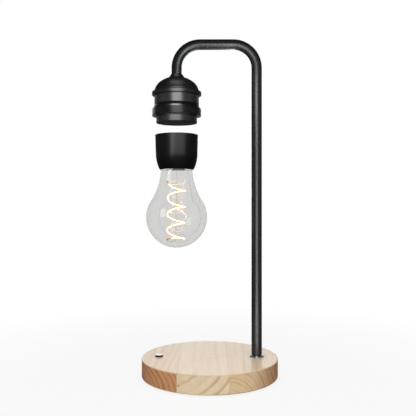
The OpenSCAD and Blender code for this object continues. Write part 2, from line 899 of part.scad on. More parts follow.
// Cup with a closed floor, held by its flange between the ring and the straight part
module head_nose() {
  color("#1c1c1c") at_bulb() rotate_extrude() difference() {
    union() {
      difference() {
        section(0, nose_r, nose_z0, nose_z1);
        corner_waste([nose_r, nose_z0], nose_edge_r, -90);
      }
      section(nose_r - nose_wall / 2, nose_flange_r, ring_lip_z, shell_z0);
    }
    section(0, nose_bore_r, nose_floor_z, nose_z1 + cut);
  }
}

// Board that drives the lifting coil
module driver_board() {
  color("seagreen") at_bulb() {
    drum(driver_r, driver_ledge_z, driver_z1);
    for (turn = [0 : 120 : 240]) rotate(turn) translate([driver_ledge_r / 2, 0, 0])
      drum(can_r, driver_z1 - pcb_t / 2, driver_z1 + can_h);
  }
}

// Magnet that carries most of the bulb's weight
module bias_magnet() {
  color("silver") at_bulb() drum(bias_d / 2, bobbin_z1, bias_z1);
}

// Iron core of the lifting coil
module iron_core() {
  color("slategray") at_bulb() drum(core_r, bobbin_z0, bobbin_z1);
}

// Bobbin of the lifting coil
module coil_bobbin() {
  color("ivory") at_bulb() rotate_extrude() {
    section(core_r + slip, hub_r, bobbin_z0, bobbin_z1);
    section(core_r + slip, bobbin_r, bobbin_z0, bobbin_z0 + bobbin_flange_t);
    section(core_r + slip, bobbin_r, bobbin_z1 - bobbin_flange_t, bobbin_z1);
  }
}

// Winding on the bobbin
module lift_coil() {
  color("peru") at_bulb()
    hoop(winding_r, hub_r + slip, bobbin_z0 + bobbin_flange_t, bobbin_z1 - bobbin_flange_t);
}

// Board with the field sensor in its middle
module sensor_board() {
  color("seagreen") at_bulb() {
    drum(sensor_r, transmit_z1, sensor_z1);
    drum(small_head_r, transmit_z1 - coil_h / 2, sensor_z1 - pcb_t / 2);
  }
}

// Coil that sends power to the bulb
module transmit_coil() {
  color("peru") at_bulb()
    flat_coil(transmit_inner_r, transmit_r, transmit_turns, nose_floor_z, transmit_z1);
}

// Outline of the floating cap, drawn in by an inset
module cap_outline(inset) {
  r0 = cap_r0 - inset / cos(cap_taper);
  r1 = cap_r1 - inset / cos(cap_taper);
  polygon([[0, cap_turn_z], [r0, cap_turn_z], [r1, cap_z1], [0, cap_z1]]);
  intersection() {
    translate(cap_turn_mid) circle(r = cap_turn_r - inset, $fn = cap_turn_fn);
    section(0, cap_r1, cap_z0 + inset, cap_turn_z + cut);
  }
}

// Cup of the floating bulb
module bulb_cap() {
  color("#161616") at_bulb() rotate_extrude() difference() {
    cap_outline(0);
    corner_waste([cap_r1, cap_z1], cap_edge_r, 0);
    difference() {
      cap_outline(cap_wall);
      section(receiver_ledge_r, cap_r1, receiver_ledge_z - receiver_ledge_t, receiver_ledge_z);
    }
    section(0, lid_r + slip, lid_z0, cap_z1 + cut);
    section(0, cap_mouth_r, cap_z0 - cut, cap_z0 + cap_mouth_h);
  }
}

// Lid of the cap, with the well that holds the magnet
module cap_lid() {
  color("#161616") at_bulb() {
    drum(lid_r, lid_z0, cap_z1);
    hoop(magnet_well_r + magnet_well_wall, magnet_well_r, lid_z0 - magnet_h / 2, lid_z0 + lid_t / 2);
  }
}

// Magnet that floats below the head's field
module float_magnet() {
  color("silver") at_bulb() drum(magnet_r, magnet_z0, lid_z0);
}

// Coil that takes power from the head
module receive_coil() {
  color("peru") at_bulb()
    flat_coil(receive_inner_r, receive_r, receive_turns, lid_z0 - coil_h, lid_z0);
}

// Board that feeds the filament
module receiver_board() {
  color("#8a5a3c") at_bulb() {
    drum(receiver_r, receiver_ledge_z, receiver_ledge_z + pcb_t);
    drum(can_r, receiver_ledge_z + pcb_t / 2, receiver_ledge_z + pcb_t + can_h);
  }
}

// Cement that holds the glass neck in the cap
module neck_cement() {
  color("wheat") at_bulb() rotate_extrude() intersection() {
    cap_outline(cap_wall + slip);
    section(glass_neck_r + slip, cap_r1, cement_z0, cement_z0 + cement_h);
  }
}

// Outline of the blown glass around the globe's middle, drawn in by an inset
module glass_outline(inset) {
  globe = glass_r - inset;
  hollow = shoulder_r + inset;
  neck = glass_neck_r - inset;
  meet_h = shoulder_h * globe / (globe + hollow);
  intersection() {
    circle(r = globe);
    section(0, globe, -globe, meet_h + glass_wall);
  }
  difference() {
    section(0, neck + hollow, meet_h, shoulder_h);
    translate([glass_neck_r + shoulder_r, shoulder_h]) circle(r = hollow);
  }
  section(0, neck, meet_h, shoulder_h + glass_neck_l + inset);
}

// Clear glass globe with its neck
module bulb_glass() {
  color("gainsboro", 0.4) at_bulb() translate([0, 0, globe_z]) rotate_extrude() difference() {
    glass_outline(0);
    glass_outline(glass_wall);
  }
}

// Glass foot: flare, press and rod
module glass_stem() {
  color("lightgray", 0.6) at_bulb() rotate_extrude() {
    difference() {
      intersection() {
        translate([flare_r, flare_z0]) circle(r = flare_curve_r);
        section(0, flare_r, flare_z0, glass_neck_z1);
      }
      translate([flare_r, flare_z0]) circle(r = flare_curve_r - flare_wall);
    }
    section(0, press_r + flare_wall, press_z0, flare_z0);
    section(0, rod_r, rod_z0, press_z0 + cut);
  }
}

// Spiral filament
module filament() {
  color("#ffd38a") at_spiral() tube_along(filament_line, filament_r, loop_sides, [0, 0, 1]);
}

// Metal ends of the filament
module filament_tips() {
  color("dimgray") at_spiral() {
    rod(filament_first, filament_first + tip_l * filament_out_first, tip_r);
    rod(filament_last, filament_last + tip_l * filament_out_last, tip_r);
  }
}

// Wire from the press to the upper end of the filament
module upper_lead() {
  end = filament_first + tip_l * filament_out_first;
  color("silver") at_spiral() tube_along([
    [-press_r / 2, 0, press_z0 - wire_seat - spiral_z],
    [-press_r / 2, 0, press_z0 - wire_step - spiral_z],
    end + 2 * wire_step * filament_out_first + [0, 0, wire_step],
    end + wire_step * filament_out_first,
    end
  ], wire_r, wire_sides, [1, 0, 0]);
}

// Wire from the rod's end down to the lower end of the filament
module lower_lead() {
  end = filament_last + tip_l * filament_out_last;
  foot = tilted([0, 0, filament_last[2] - 2 * tip_r - wire_step]);
  color("#8a7350") at_spiral() tube_along([
    [0, 0, rod_z0 - wire_seat - spiral_z],
    [0, 0, rod_z0 - wire_step - spiral_z],
    foot + [0, 0, wire_step],
    foot + wire_step * unit([end[0], end[1], 0]),
    [end[0], end[1], foot[2]] + wire_step * filament_out_last,
    end + 2 * wire_step * filament_out_last,
    end + wire_step * filament_out_last,
    end
  ], wire_r, wire_sides, [0, 1, 0]);
}

base_disc();
bottom_plate();
plate_screws();
rubber_feet();
arm_tube();
pole_collar();
pole_washer();
pole_nut();
head_lead();
switch_button();
switch_spring();
switch_body();
switch_screws();
switch_wire();
power_board();
board_standoffs();
board_screws();
dc_jack();
jack_lead();
charging_coil();
charging_ferrite();
head_dome();
head_nut();
head_shell();
head_ring();
head_nose();
driver_board();
bias_magnet();
iron_core();
coil_bobbin();
lift_coil();
sensor_board();
transmit_coil();
bulb_cap();
cap_lid();
float_magnet();
receive_coil();
receiver_board();
neck_cement();
bulb_glass();
glass_stem();
filament();
filament_tips();
upper_lead();
lower_lead();
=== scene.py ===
"""Looks of a levitating bulb desk lamp: wooden base, bent tube, black head and a floating bulb.

Every piece is in metres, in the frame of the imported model: +Z up, -Y to the front, +X to the pole.
"""

import json
import logging
import math
from dataclasses import dataclass
from enum import Enum
from typing import Any, Callable, Sequence

import bmesh
import bpy
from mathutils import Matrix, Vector

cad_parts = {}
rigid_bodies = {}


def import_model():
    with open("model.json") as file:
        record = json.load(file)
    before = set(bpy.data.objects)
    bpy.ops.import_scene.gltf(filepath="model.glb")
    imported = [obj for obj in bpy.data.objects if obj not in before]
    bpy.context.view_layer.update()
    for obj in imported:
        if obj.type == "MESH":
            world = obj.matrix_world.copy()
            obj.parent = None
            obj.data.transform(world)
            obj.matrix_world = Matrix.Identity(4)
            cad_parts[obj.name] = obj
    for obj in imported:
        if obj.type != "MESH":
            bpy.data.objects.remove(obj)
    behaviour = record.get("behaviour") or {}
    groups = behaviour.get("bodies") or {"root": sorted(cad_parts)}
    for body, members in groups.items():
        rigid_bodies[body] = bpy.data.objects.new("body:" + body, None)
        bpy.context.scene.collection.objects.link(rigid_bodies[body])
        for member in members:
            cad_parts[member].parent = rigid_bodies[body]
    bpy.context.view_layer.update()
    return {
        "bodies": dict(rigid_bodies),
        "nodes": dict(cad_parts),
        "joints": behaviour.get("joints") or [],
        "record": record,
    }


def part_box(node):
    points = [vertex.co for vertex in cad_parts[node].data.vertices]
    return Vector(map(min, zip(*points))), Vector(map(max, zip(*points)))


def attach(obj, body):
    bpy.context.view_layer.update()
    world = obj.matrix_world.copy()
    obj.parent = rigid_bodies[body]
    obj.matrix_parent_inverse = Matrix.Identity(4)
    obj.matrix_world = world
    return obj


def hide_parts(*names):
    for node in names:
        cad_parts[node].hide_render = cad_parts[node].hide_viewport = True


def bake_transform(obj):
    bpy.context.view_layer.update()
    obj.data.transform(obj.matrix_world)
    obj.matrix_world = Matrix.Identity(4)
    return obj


log = logging.getLogger("lamp")

MM = 0.001
ROUND_STEPS = 160
EDGE_STEPS = 5
SHARP_ANGLE = math.radians(32)
FULL_TURN = 360.0
TINY = 1e-6

Colour = tuple[float, float, float]
Triple = tuple[float, float, float]
Point = tuple[float, float]
Step = tuple[float, float, float, float]
Corner = tuple[float, ...]
Outline = list[Point]
Piece = bpy.types.Object

WHITE: Colour = (1.0, 1.0, 1.0)
EVEN: Triple = (1.0, 1.0, 1.0)


class Body(Enum):
    """Bodies of the lamp that move by themselves."""

    ROOT = "root"
    BUTTON = "button"
    BULB = "bulb"


class Ray(Enum):
    """Kinds of light path that the surroundings answer to."""

    CAMERA = "Is Camera Ray"
    GLOSSY = "Is Glossy Ray"
    THROUGH = "Is Transmission Ray"
    SHADOW = "Is Shadow Ray"
    SHARP = "Is Singular Ray"


def operator(operation: str, number_first: bool = False) -> Callable[..., "Value"]:
    """An operator on values, which adds a Math node.

    Args:
        operation: Blender's name of the operation.
        number_first: whether the value comes second, after a number.

    Returns:
        The operator, as a method of a value.
    """
    def apply(value: "Value", other: Any = 0.0) -> "Value":
        """Adds the node and returns its result."""
        pair = (other, value) if number_first else (value, other)
        return value.tree.node("ShaderNodeMath", {"operation": operation}, dict(enumerate(pair)))

    return apply


class Value:
    """A number, colour or vector in a node tree that Python's operators work on."""

    __add__, __radd__ = operator("ADD"), operator("ADD", True)
    __sub__, __rsub__ = operator("SUBTRACT"), operator("SUBTRACT", True)
    __mul__, __rmul__ = operator("MULTIPLY"), operator("MULTIPLY", True)
    __truediv__ = operator("DIVIDE")
    __pow__ = operator("POWER")
    __abs__ = operator("ABSOLUTE")
    # One where the value passes a limit, the larger of two, and the part after the decimal point.
    over = operator("GREATER_THAN")
    largest = operator("MAXIMUM")
    rest = operator("FRACT")

    def __init__(self, tree: "Tree", socket: bpy.types.NodeSocket) -> None:
        """Keeps the socket and the tree that it is in."""
        self.tree = tree
        self.socket = socket

    def hypotenuse(self, other: "Value") -> "Value":
        """Distance from zero of the point at these two coordinates."""
        return (self * self + other * other) ** 0.5

    def rise(self, low: float, high: float, bottom: float = 0.0, top: float = 1.0) -> "Value":
        """Smooth step from bottom at low to top at high.

        Args:
            low: value where the step starts.
            high: value where the step ends.
            bottom: result below low.
            top: result above high.

        Returns:
            The stepped value.
        """
        limits = {"Value": self, "From Min": low, "From Max": high, "To Min": bottom, "To Max": top}
        return self.tree.node("ShaderNodeMapRange", {"interpolation_type": "SMOOTHSTEP"}, limits)


class Tree:
    """Node tree of one material or of the world."""

    def __init__(self, owner: bpy.types.Material | bpy.types.World) -> None:
        """Empties the owner's node tree.

        Args:
            owner: the material or the world.
        """
        owner.use_nodes = True
        self.nodes = owner.node_tree.nodes
        self.links = owner.node_tree.links
        self.nodes.clear()

    def node(
        self,
        kind: str,
        settings: dict[str, Any] | None = None,
        inputs: dict[str | int, Any] | None = None,
        output: str | int = 0,
    ) -> Value:
        """Adds a node.

        Args:
            kind: Blender's name of the node's type.
            settings: attributes that are set first.
            inputs: numbers, colours or values for its sockets, by name or place.
            output: the socket that is returned, by name or place.

        Returns:
            The value at that output.
        """
        made = self.nodes.new(kind)
        for name, setting in (settings or {}).items():
            setattr(made, name, setting)
        for key, given in (inputs or {}).items():
            if isinstance(given, Value):
                self.links.new(given.socket, made.inputs[key])
            else:
                made.inputs[key].default_value = given
        return Value(self, made.outputs[output])

    def mix(self, share: Any, first: Any, second: Any, blend: str = "MIX") -> Value:
        """Blends two colours.

        Args:
            share: how much of the second colour shows.
            first: colour or value.
            second: colour or value.
            blend: Blender's name of the way they blend.

        Returns:
            The blended colour.
        """
        settings = {"data_type": "RGBA", "blend_type": blend}
        return self.node("ShaderNodeMix", settings, {0: share, 6: opaque(first), 7: opaque(second)}, 2)

    def place(self, stretch: Triple = EVEN) -> Value:
        """Point on the piece in millimetres.

        Args:
            stretch: factor of each direction.

        Returns:
            The point as a vector.
        """
        place = self.node("ShaderNodeTexCoord", output="Object")
        factors = tuple(s / MM for s in stretch)
        return self.node("ShaderNodeVectorMath", {"operation": "MULTIPLY"}, {0: place, 1: factors})

    def parts(self, vector: Value) -> tuple[Value, Value, Value]:
        """The three numbers of a vector."""
        made = self.node("ShaderNodeSeparateXYZ", inputs={0: vector})
        return tuple(Value(self, out) for out in made.socket.node.outputs)

    def noise(self, vector: Value, scale: float, detail: float = 2.0, rough: float = 0.5) -> Value:
        """Soft noise from 0 to 1, of a scale in repeats for each unit of the vector."""
        inputs = {"Vector": vector, "Scale": scale, "Detail": detail, "Roughness": rough}
        return self.node("ShaderNodeTexNoise", inputs=inputs)

    def bump(self, height: Value, depth: float) -> Value:
        """Normal of a surface with this height, where 1 stands for a depth in metres."""
        return self.node("ShaderNodeBump", inputs={"Height": height, "Distance": depth, "Strength": 1.0})

    def ray(self, kind: Ray) -> Value:
        """One for that kind of light path, else zero."""
        return self.node("ShaderNodeLightPath", output=kind.value)

    def seen(self) -> Value:
        """One for what the camera sees, also through glass, else zero."""
        return self.ray(Ray.CAMERA).largest(self.ray(Ray.THROUGH))

    def up(self) -> Value:
        """How far the surface looks up, from -1 to 1."""
        return self.parts(self.node("ShaderNodeNewGeometry", output="Normal"))[2]

    def principled(self, **inputs: Any) -> Value:
        """A Principled shader; the names of its sockets are written with underscores."""
        named = {name.replace("_", " "): opaque(given) for name, given in inputs.items()}
        return self.node("ShaderNodeBsdfPrincipled", inputs=named)

    def blend(self, share: Any, first: Value, second: Value) -> Value:
        """Mixes two shaders, with a share of the second."""
        return self.node("ShaderNodeMixShader", inputs={0: share, 1: first, 2: second})

    def glow(self, colour: Any, strength: Any) -> Value:
        """A shader that gives light."""
        return self.node("ShaderNodeEmission", inputs={"Color": opaque(colour), "Strength": strength})

    def clear(self, tint: Colour = WHITE) -> Value:
        """A shader that lets light through unbent."""
        return self.node("ShaderNodeBsdfTransparent", inputs={"Color": opaque(tint)})

    def finish(self, shader: Value, output: str = "ShaderNodeOutputMaterial") -> None:
        """Ends the tree in a shader."""
        end = self.nodes.new(output)
        self.links.new(shader.socket, end.inputs["Surface"])


def opaque(given: Any) -> Any:
    """A colour of three numbers as four, anything else as it is."""
    return (*given, 1.0) if isinstance(given, tuple) and len(given) == 3 else given


@dataclass(frozen=True)
class Finish:
    """A surface finish; what it looks like is in its nodes."""

    name: str

    def nodes(self, tree: Tree) -> Value:
        """Builds the finish's nodes and returns its shader."""
        raise NotImplementedError

    def material(self) -> bpy.types.Material:
        """Makes the finish's material once.

        Returns:
            The material.
        """
        found = bpy.data.materials.get(self.name + "_look")
        if found is None:
            found = bpy.data.materials.new(self.name + "_look")
            tree = Tree(found)
            tree.finish(self.nodes(tree))
        return found


@dataclass(frozen=True)
class Moulding(Finish):
    """Moulded or painted surface with a fine grain and uneven gloss."""

    colour: Colour = (0.02, 0.02, 0.02)
    rough: float = 0.4
    grain_mm: float = 0.35
    grain_depth: float = 0.02 * MM
    specular: float = 0.5
    clouds_per_mm: float = 0.06
    cloud_gain: float = 1.3
    cloud_lift: float = 0.0004
    uneven: Point = (-0.03, 0.04)

    def nodes(self, tree: Tree) -> Value:
        """Grain as bump, faint clouds in colour and gloss.

        Args:
            tree: the material's nodes.

        Returns:
            The shader.
        """
        place = tree.place()
        grain = tree.noise(place, 1.0 / self.grain_mm, 2.0)
        cloud = tree.noise(place, self.clouds_per_mm, 3.0)
        pale = tuple(min(1.0, self.cloud_gain * c + self.cloud_lift) for c in self.colour)
        return tree.principled(
            Base_Color=tree.mix(cloud.rise(0.3, 0.75, 0.0, 0.6), self.colour, pale),
            Roughness=cloud.rise(0.25, 0.8, *(self.rough + off for off in self.uneven)),
            Specular_IOR_Level=self.specular,
            Normal=tree.bump(grain, self.grain_depth),
        )


@dataclass(frozen=True)
class Metal(Finish):
    """Bare or plated metal with fine marks along one direction."""

    colour: Colour = (0.7, 0.7, 0.7)
    rough: float = 0.2
    stretch: Triple = (1.0, 1.0, 0.1)
    mark_depth: float = 0.004 * MM
    wear: float = 0.08
    dimming: float = 0.82

    def tone(self, tree: Tree, cloud: Value) -> Value:
        """The metal's colour, dimmer in clouds of wear."""
        return tree.mix(cloud.rise(0.35, 0.75), self.colour, tuple(self.dimming * c for c in self.colour))

    def nodes(self, tree: Tree) -> Value:
        """Stretched marks as bump, clouds of wear in gloss and colour.

        Args:
            tree: the material's nodes.

        Returns:
            The shader.
        """
        marks = tree.noise(tree.place(self.stretch), 3.0, 3.0)
        cloud = tree.noise(tree.place(), 0.25, 2.0)
        return tree.principled(
            Base_Color=self.tone(tree, cloud),
            Metallic=1.0,
            Roughness=cloud.rise(0.3, 0.8, self.rough, self.rough + self.wear),
            Normal=tree.bump(marks, self.mark_depth),
        )


@dataclass(frozen=True)
class Plating(Metal):
    """Polished plating with painted reflections: bright on top and dark around its upright sides."""

    wear: float = 0.06
    # Painted reflection of the wood and the dark room on the upright sides.
    painted_side_reflection: Colour = (0.07, 0.045, 0.035)

    def tone(self, tree: Tree, cloud: Value) -> Value:
        """Painted reflection: bright where the surface looks up, dark on the upright sides, whatever the
        wear.
        """
        return tree.mix(tree.up().rise(0.2, 0.75), self.painted_side_reflection, self.colour)


@dataclass(frozen=True)
class Inlet(Moulding):
    """Moulded inlet housing with a bare metal pin along Y."""

    pin_z: float = 9.3
    pin_r: float = 1.05
    pin_from: float = 60.0
    metal: Colour = (0.68, 0.66, 0.6)

    def nodes(self, tree: Tree) -> Value:
        """Grain on the housing, metal where the pin is.

        Args:
            tree: the material's nodes.

        Returns:
            The shader.
        """
        x, y, z = tree.parts(tree.place())
        pin = (1.0 - x.hypotenuse(z - self.pin_z).over(self.pin_r)) * y.over(self.pin_from)
        grain = tree.noise(tree.place(), 1.0 / self.grain_mm, 2.0)
        return tree.principled(
            Base_Color=tree.mix(pin, self.colour, self.metal),
            Metallic=pin,
            Roughness=self.rough - pin * 0.2,
            Normal=tree.bump(grain, self.grain_depth),
        )


@dataclass(frozen=True)
class Winding(Finish):
    """Enamelled copper wire, seen as rings around an upright axis, with painted shade in the grooves between
    turns.
    """

    axis_x: float = 0.0
    wire_mm: float = 0.3
    colour: Colour = (0.62, 0.25, 0.08)
    painted_groove_shade: float = 0.45
    ridge_h: float = 0.05 * MM

    def nodes(self, tree: Tree) -> Value:
        """Ridges of the turns around the axis and up its side, darker in the grooves as painted shade.

        Args:
            tree: the material's nodes.

        Returns:
            The shader.
        """
        x, y, z = tree.parts(tree.place())
        radius = (x - self.axis_x / MM).hypotenuse(y)
        turn = ((radius + z) / self.wire_mm).rest()
        ridge = 1.0 - abs(turn - 0.5) * 2.0
        return tree.principled(
            # Painted shade in the grooves between turns.
            Base_Color=tree.mix(ridge, tuple(self.painted_groove_shade * c for c in self.colour), self.colour),
            Metallic=0.85,
            Roughness=0.32,
            Normal=tree.bump(ridge, self.ridge_h),
        )


@dataclass(frozen=True)
class Laminate(Finish):
    """Circuit board with paler tracks under its lacquer."""

    colour: Colour = (0.02, 0.13, 0.05)
    track: Colour = (0.06, 0.27, 0.1)
    track_mm: float = 1.6
    track_h: float = 0.02 * MM

    def nodes(self, tree: Tree) -> Value:
        """Tracks from a cell pattern of squares.

        Args:
            tree: the material's nodes.

        Returns:
            The shader.
        """
        inputs = {"Vector": tree.place(), "Scale": 1.0 / self.track_mm}
        cells = tree.node("ShaderNodeTexVoronoi", {"distance": "CHEBYCHEV"}, inputs)
        track = cells.rise(0.3, 0.36)
        return tree.principled(
            Base_Color=tree.mix(track, self.colour, self.track),
            Roughness=0.3,
            Normal=tree.bump(track, self.track_h),
        )


@dataclass(frozen=True)
class StaveWood(Finish):
    """Hardwood glued from three staves along Y, each with its own growth rings, under satin lacquer; its
    sides are darker than its top, partly from end grain and partly as painted shade.

    Shares say how much of a mark's colour covers the wood below it.
    """

    seams_mm: Point = (-33.4, 19.5)
    seam_half_mm: Point = (0.1, 0.35)
    seam_share: float = 0.35
    hearts_mm: tuple[Point, Point, Point] = ((-86.0, -14.0), (-52.0, 62.0), (22.0, -7.0))
    tilts: Triple = (0.06, -0.03, 0.03)
    rings_mm: Triple = (5.4, 10.0, 3.6)
    shifts_mm: Triple = (0.0, -1.3, 0.0)
    warp_mm: float = 12.0
    bands: Triple = (0.62, 0.8, 0.36)
    top_band: float = 0.18
    sharp: Triple = (1.0, 3.0, 1.2)
    year_jumps: Point = (31.0, 47.0)
    year_depth: Step = (0.34, 0.62, 0.15, 1.0)
    clear_mm: Point = (-30.0, 6.0)
    clear_share: float = 0.75
    fibre_share: float = 0.2
    broad_share: float = 0.14
    pore_share: float = 0.3
    tints: tuple[Colour, Colour, Colour] = ((0.8, 0.52, 0.34), (1.03, 1.06, 0.98), (0.98, 0.92, 0.76))
    early: Colour = (0.735, 0.6, 0.445)
    late: Colour = (0.42, 0.195, 0.08)
    edge: Colour = (0.36, 0.13, 0.055)
    left_flank: Step = (52.0, 76.0, 0.0, 0.3)
    right_flank: Step = (38.0, 70.0, 0.0, 0.75)
    # Colour of the painted highlight along the rounded top edge.
    rim: Colour = (0.6, 0.4, 0.18)
    bevel_highlight_share: float = 0.6
    knot_mm: Triple = (-31.5, 9.2, 1.7)
    knot_share: float = 0.8
    mark_colour: Colour = (0.5, 0.42, 0.35)
    mark_r_mm: float = 10.5
    mark_w_mm: float = 0.7
    mark_above_mm: float = 20.0
    mark_share: float = 0.55
    relief: float = 0.03 * MM

    @staticmethod
    def by_stave(masks: tuple[Value, Value], numbers: Sequence[float]) -> Value:
        """The number of the stave that a point is in."""
        return numbers[0] + masks[0] * (numbers[1] - numbers[0]) + masks[1] * (numbers[2] - numbers[1])

    def rings(self, tree: Tree, place: Sequence[Value], masks: tuple[Value, Value]) -> Value:
        """Late wood of the growth rings around each stave's heart.

        Args:
            tree: the material's nodes.
            place: X, Y and Z in millimetres.
            masks: one to the right of the first seam, and one to the right of the second.

        Returns:
            How dark the rings are, from 0 to 1.
        """
        x, y, z = place
        warp = tree.noise(tree.place((1.0, 0.15, 1.0)), 0.025, 2.0)
        heart_x, heart_z = (self.by_stave(masks, places) for places in zip(*self.hearts_mm))
        across = x - heart_x - y * self.by_stave(masks, self.tilts)
        radius = across.hypotenuse(z - heart_z) + warp * self.warp_mm + self.by_stave(masks, self.shifts_mm)
        count = radius / self.by_stave(masks, self.rings_mm)
        turn = count.rest()
        number = count + masks[0] * self.year_jumps[0] + masks[1] * self.year_jumps[1]
        year = tree.node(
            "ShaderNodeTexNoise", {"noise_dimensions": "1D"}, {"W": number, "Scale": 0.8, "Detail": 1.0})
        late = turn.rise(0.2, 0.8) ** self.by_stave(masks, self.sharp) * (1.0 - turn.rise(0.8, 1.0))
        clear = masks[0] * (1.0 - masks[1]) * (1.0 - x.rise(*self.clear_mm))
        return late * year.rise(*self.year_depth) * (1.0 - clear * self.clear_share)

    def nodes(self, tree: Tree) -> Value:
        """Rings, fibres along Y and pores, and over them the flanks, a painted highlight along the rounded
        top edge, the knot, seams and a faint ring.

        Args:
            tree: the material's nodes.

        Returns:
            The shader.
        """
        place = x, y, z = tree.parts(tree.place())
        masks = (x.over(self.seams_mm[0]), x.over(self.seams_mm[1]))
        late = self.rings(tree, place, masks)
        fibre = tree.noise(tree.place((1.0, 0.035, 1.0)), 1.1, 4.0, 0.62)
        broad = tree.noise(tree.place((1.0, 0.05, 1.0)), 0.16, 3.0)
        pore = tree.noise(tree.place((1.0, 0.09, 1.0)), 2.6, 1.0).rise(0.66, 0.74)
        # Sides darker than the top, partly for their end grain and partly as painted shade, as if the top
        # took more light from above.
        side = 1.0 - abs(tree.up())
        depth = late * (self.top_band + side * (self.by_stave(masks, self.bands) - self.top_band))
        depth = depth + fibre.rise(0.3, 0.8) * self.fibre_share + broad.rise(0.3, 0.8) * self.broad_share
        wood = tree.mix(depth, self.early, self.late)
        tint = tree.mix(masks[1], tree.mix(masks[0], self.tints[0], self.tints[1]), self.tints[2])
        # Stave tints show almost only on the sides: partly their own colour, partly painted shade.
        wood = tree.mix(side * 0.9 + 0.1, wood, tree.mix(1.0, wood, tint, "MULTIPLY"))
        flank = (0.0 - x).rise(*self.left_flank) + x.rise(*self.right_flank)
        # Painted highlight where the top edge rounds over.
        bevel = side.rise(0.1, 0.4) * (1.0 - side.rise(0.8, 0.98))
        knot_x, knot_z, knot_r = self.knot_mm
        knot = 1.0 - (x - knot_x).hypotenuse(z - knot_z).rise(0.2, knot_r)
        left, right = (1.0 - abs(x - seam).rise(*self.seam_half_mm) for seam in self.seams_mm)
        seam = left.largest(right)
        ring = 1.0 - abs(x.hypotenuse(y) - self.mark_r_mm).rise(self.mark_w_mm / 2, self.mark_w_mm)
        for share, colour in (
            (side * flank * (0.8 + late * 0.4), self.edge),
            (bevel * self.bevel_highlight_share, self.rim),
            (pore * self.pore_share, tuple(0.5 * c for c in self.late)),
            (knot * side * (1.0 - y.over(0.0)) * self.knot_share, self.edge),
            (seam * self.seam_share, self.late),
            (ring * (1.0 - side) * z.over(self.mark_above_mm) * self.mark_share, self.mark_colour),
        ):
            wood = tree.mix(share, wood, colour)
        return tree.principled(
            Base_Color=wood,
            Roughness=(fibre * 0.1 + late * 0.05 + pore * 0.15) + 0.3,
            Coat_Weight=0.3,
            Coat_Roughness=0.08,
            Normal=tree.bump(fibre * 0.5 + late * 0.25 - pore - seam * 0.6, self.relief),
        )


@dataclass(frozen=True)
class ClearGlass(Finish):
    """Clear glass that lets lamps through; a faint draw of uneven thickness bends it."""

    tint: Colour = (0.9, 0.92, 0.91)
    shade: Colour = (0.94, 0.95, 0.95)
    wave_depth: float = 0.012 * MM
    ior: float = 1.47

    def nodes(self, tree: Tree) -> Value:
        """Slow waves as bump on glass, clear to rays that look for lamps.

        Args:
            tree: the material's nodes.

        Returns:
            The shader.
        """
        wave = tree.noise(tree.place((1.0, 1.0, 0.5)), 0.05, 0.0)
        glass = tree.principled(
            Base_Color=self.tint,
            Roughness=0.0,
            IOR=self.ior,
            Transmission_Weight=1.0,
            Normal=tree.bump(wave, self.wave_depth),
        )
        return tree.blend(tree.ray(Ray.SHADOW), glass, tree.clear(self.shade))


@dataclass(frozen=True)
class HotCore(Finish):
    """White-hot filament, a little uneven along its chips."""

    hot: Colour = (1.0, 0.62, 0.31)
    warm: Colour = (1.0, 0.54, 0.24)
    strength: float = 13.0

    def nodes(self, tree: Tree) -> Value:
        """Faint spots where the chips sit."""
        chips = tree.noise(tree.place(), 0.9, 1.0)
        return tree.glow(tree.mix(chips.rise(0.35, 0.7, 0.0, 0.4), self.hot, self.warm), self.strength)


@dataclass(frozen=True)
class GlowSleeve(Finish):
    """Clear coat around the filament that carries its warm glow."""

    colour: Colour = (1.0, 0.6, 0.26)
    strength: float = 1.0
    cover: float = 0.4

    def nodes(self, tree: Tree) -> Value:
        """Warm light over what is behind it, thinner in spots.

        Args:
            tree: the material's nodes.

        Returns:
            The shader.
        """
        cloud = tree.noise(tree.place(), 0.7, 2.0)
        share = cloud.rise(0.2, 0.8, 0.8 * self.cover, 1.2 * self.cover)
        return tree.blend(share, tree.clear(), tree.glow(self.colour, self.strength))


HEAD_BLACK = Moulding("head_satin_black", (0.004, 0.004, 0.0042), 0.33, 0.3, 0.012 * MM, 0.75)
DOME_BLACK = Moulding("dome_satin_black", (0.003, 0.003, 0.0032), 0.34, 0.3, 0.012 * MM, 0.58)
RING_BLACK = Moulding("ring_satin_black", (0.002, 0.002, 0.002), 0.29, 0.3, 0.006 * MM, 0.24)
NOSE_BLACK = Moulding("nose_satin_black", (0.004, 0.004, 0.004), 0.34, 0.3, 0.012 * MM, 0.6)
CAP_BLACK = Moulding("cap_soft_black", (0.0018, 0.0018, 0.002), 0.33, 0.25, 0.01 * MM, 0.19)
TUBE_BLACK = Moulding("tube_satin_black", (0.0045, 0.0052, 0.0054), 0.38, 0.4, 0.002 * MM, 0.33)
PLATE_BLACK = Moulding("plate_powder_black", (0.02, 0.02, 0.021), 0.5, 0.5, 0.05 * MM)
FOOT_RUBBER = Moulding("foot_rubber", (0.018, 0.018, 0.018), 0.75, 0.4, 0.03 * MM, 0.3)
HOUSING_BLACK = Moulding("housing_black", (0.02, 0.02, 0.02), 0.42)
CABLE_BLACK = Moulding("cable_black", (0.015, 0.015, 0.015), 0.6)
WIRE_RED = Moulding("wire_red", (0.35, 0.03, 0.02), 0.5)
NYLON_WHITE = Moulding("nylon_white", (0.78, 0.77, 0.72), 0.5)
FERRITE_GREY = Moulding("ferrite_grey", (0.06, 0.06, 0.06), 0.55)
CEMENT = Moulding("neck_cement", (0.42, 0.33, 0.24), 0.8, 0.4, 0.08 * MM, 0.3)
PRESS_BROWN = Moulding("press_brown", (0.11, 0.07, 0.05), 0.6, 0.4, 0.04 * MM, 0.3)
LEAD_WHITE = Moulding("lead_white_coat", (0.85, 0.85, 0.84), 0.4, 0.3)
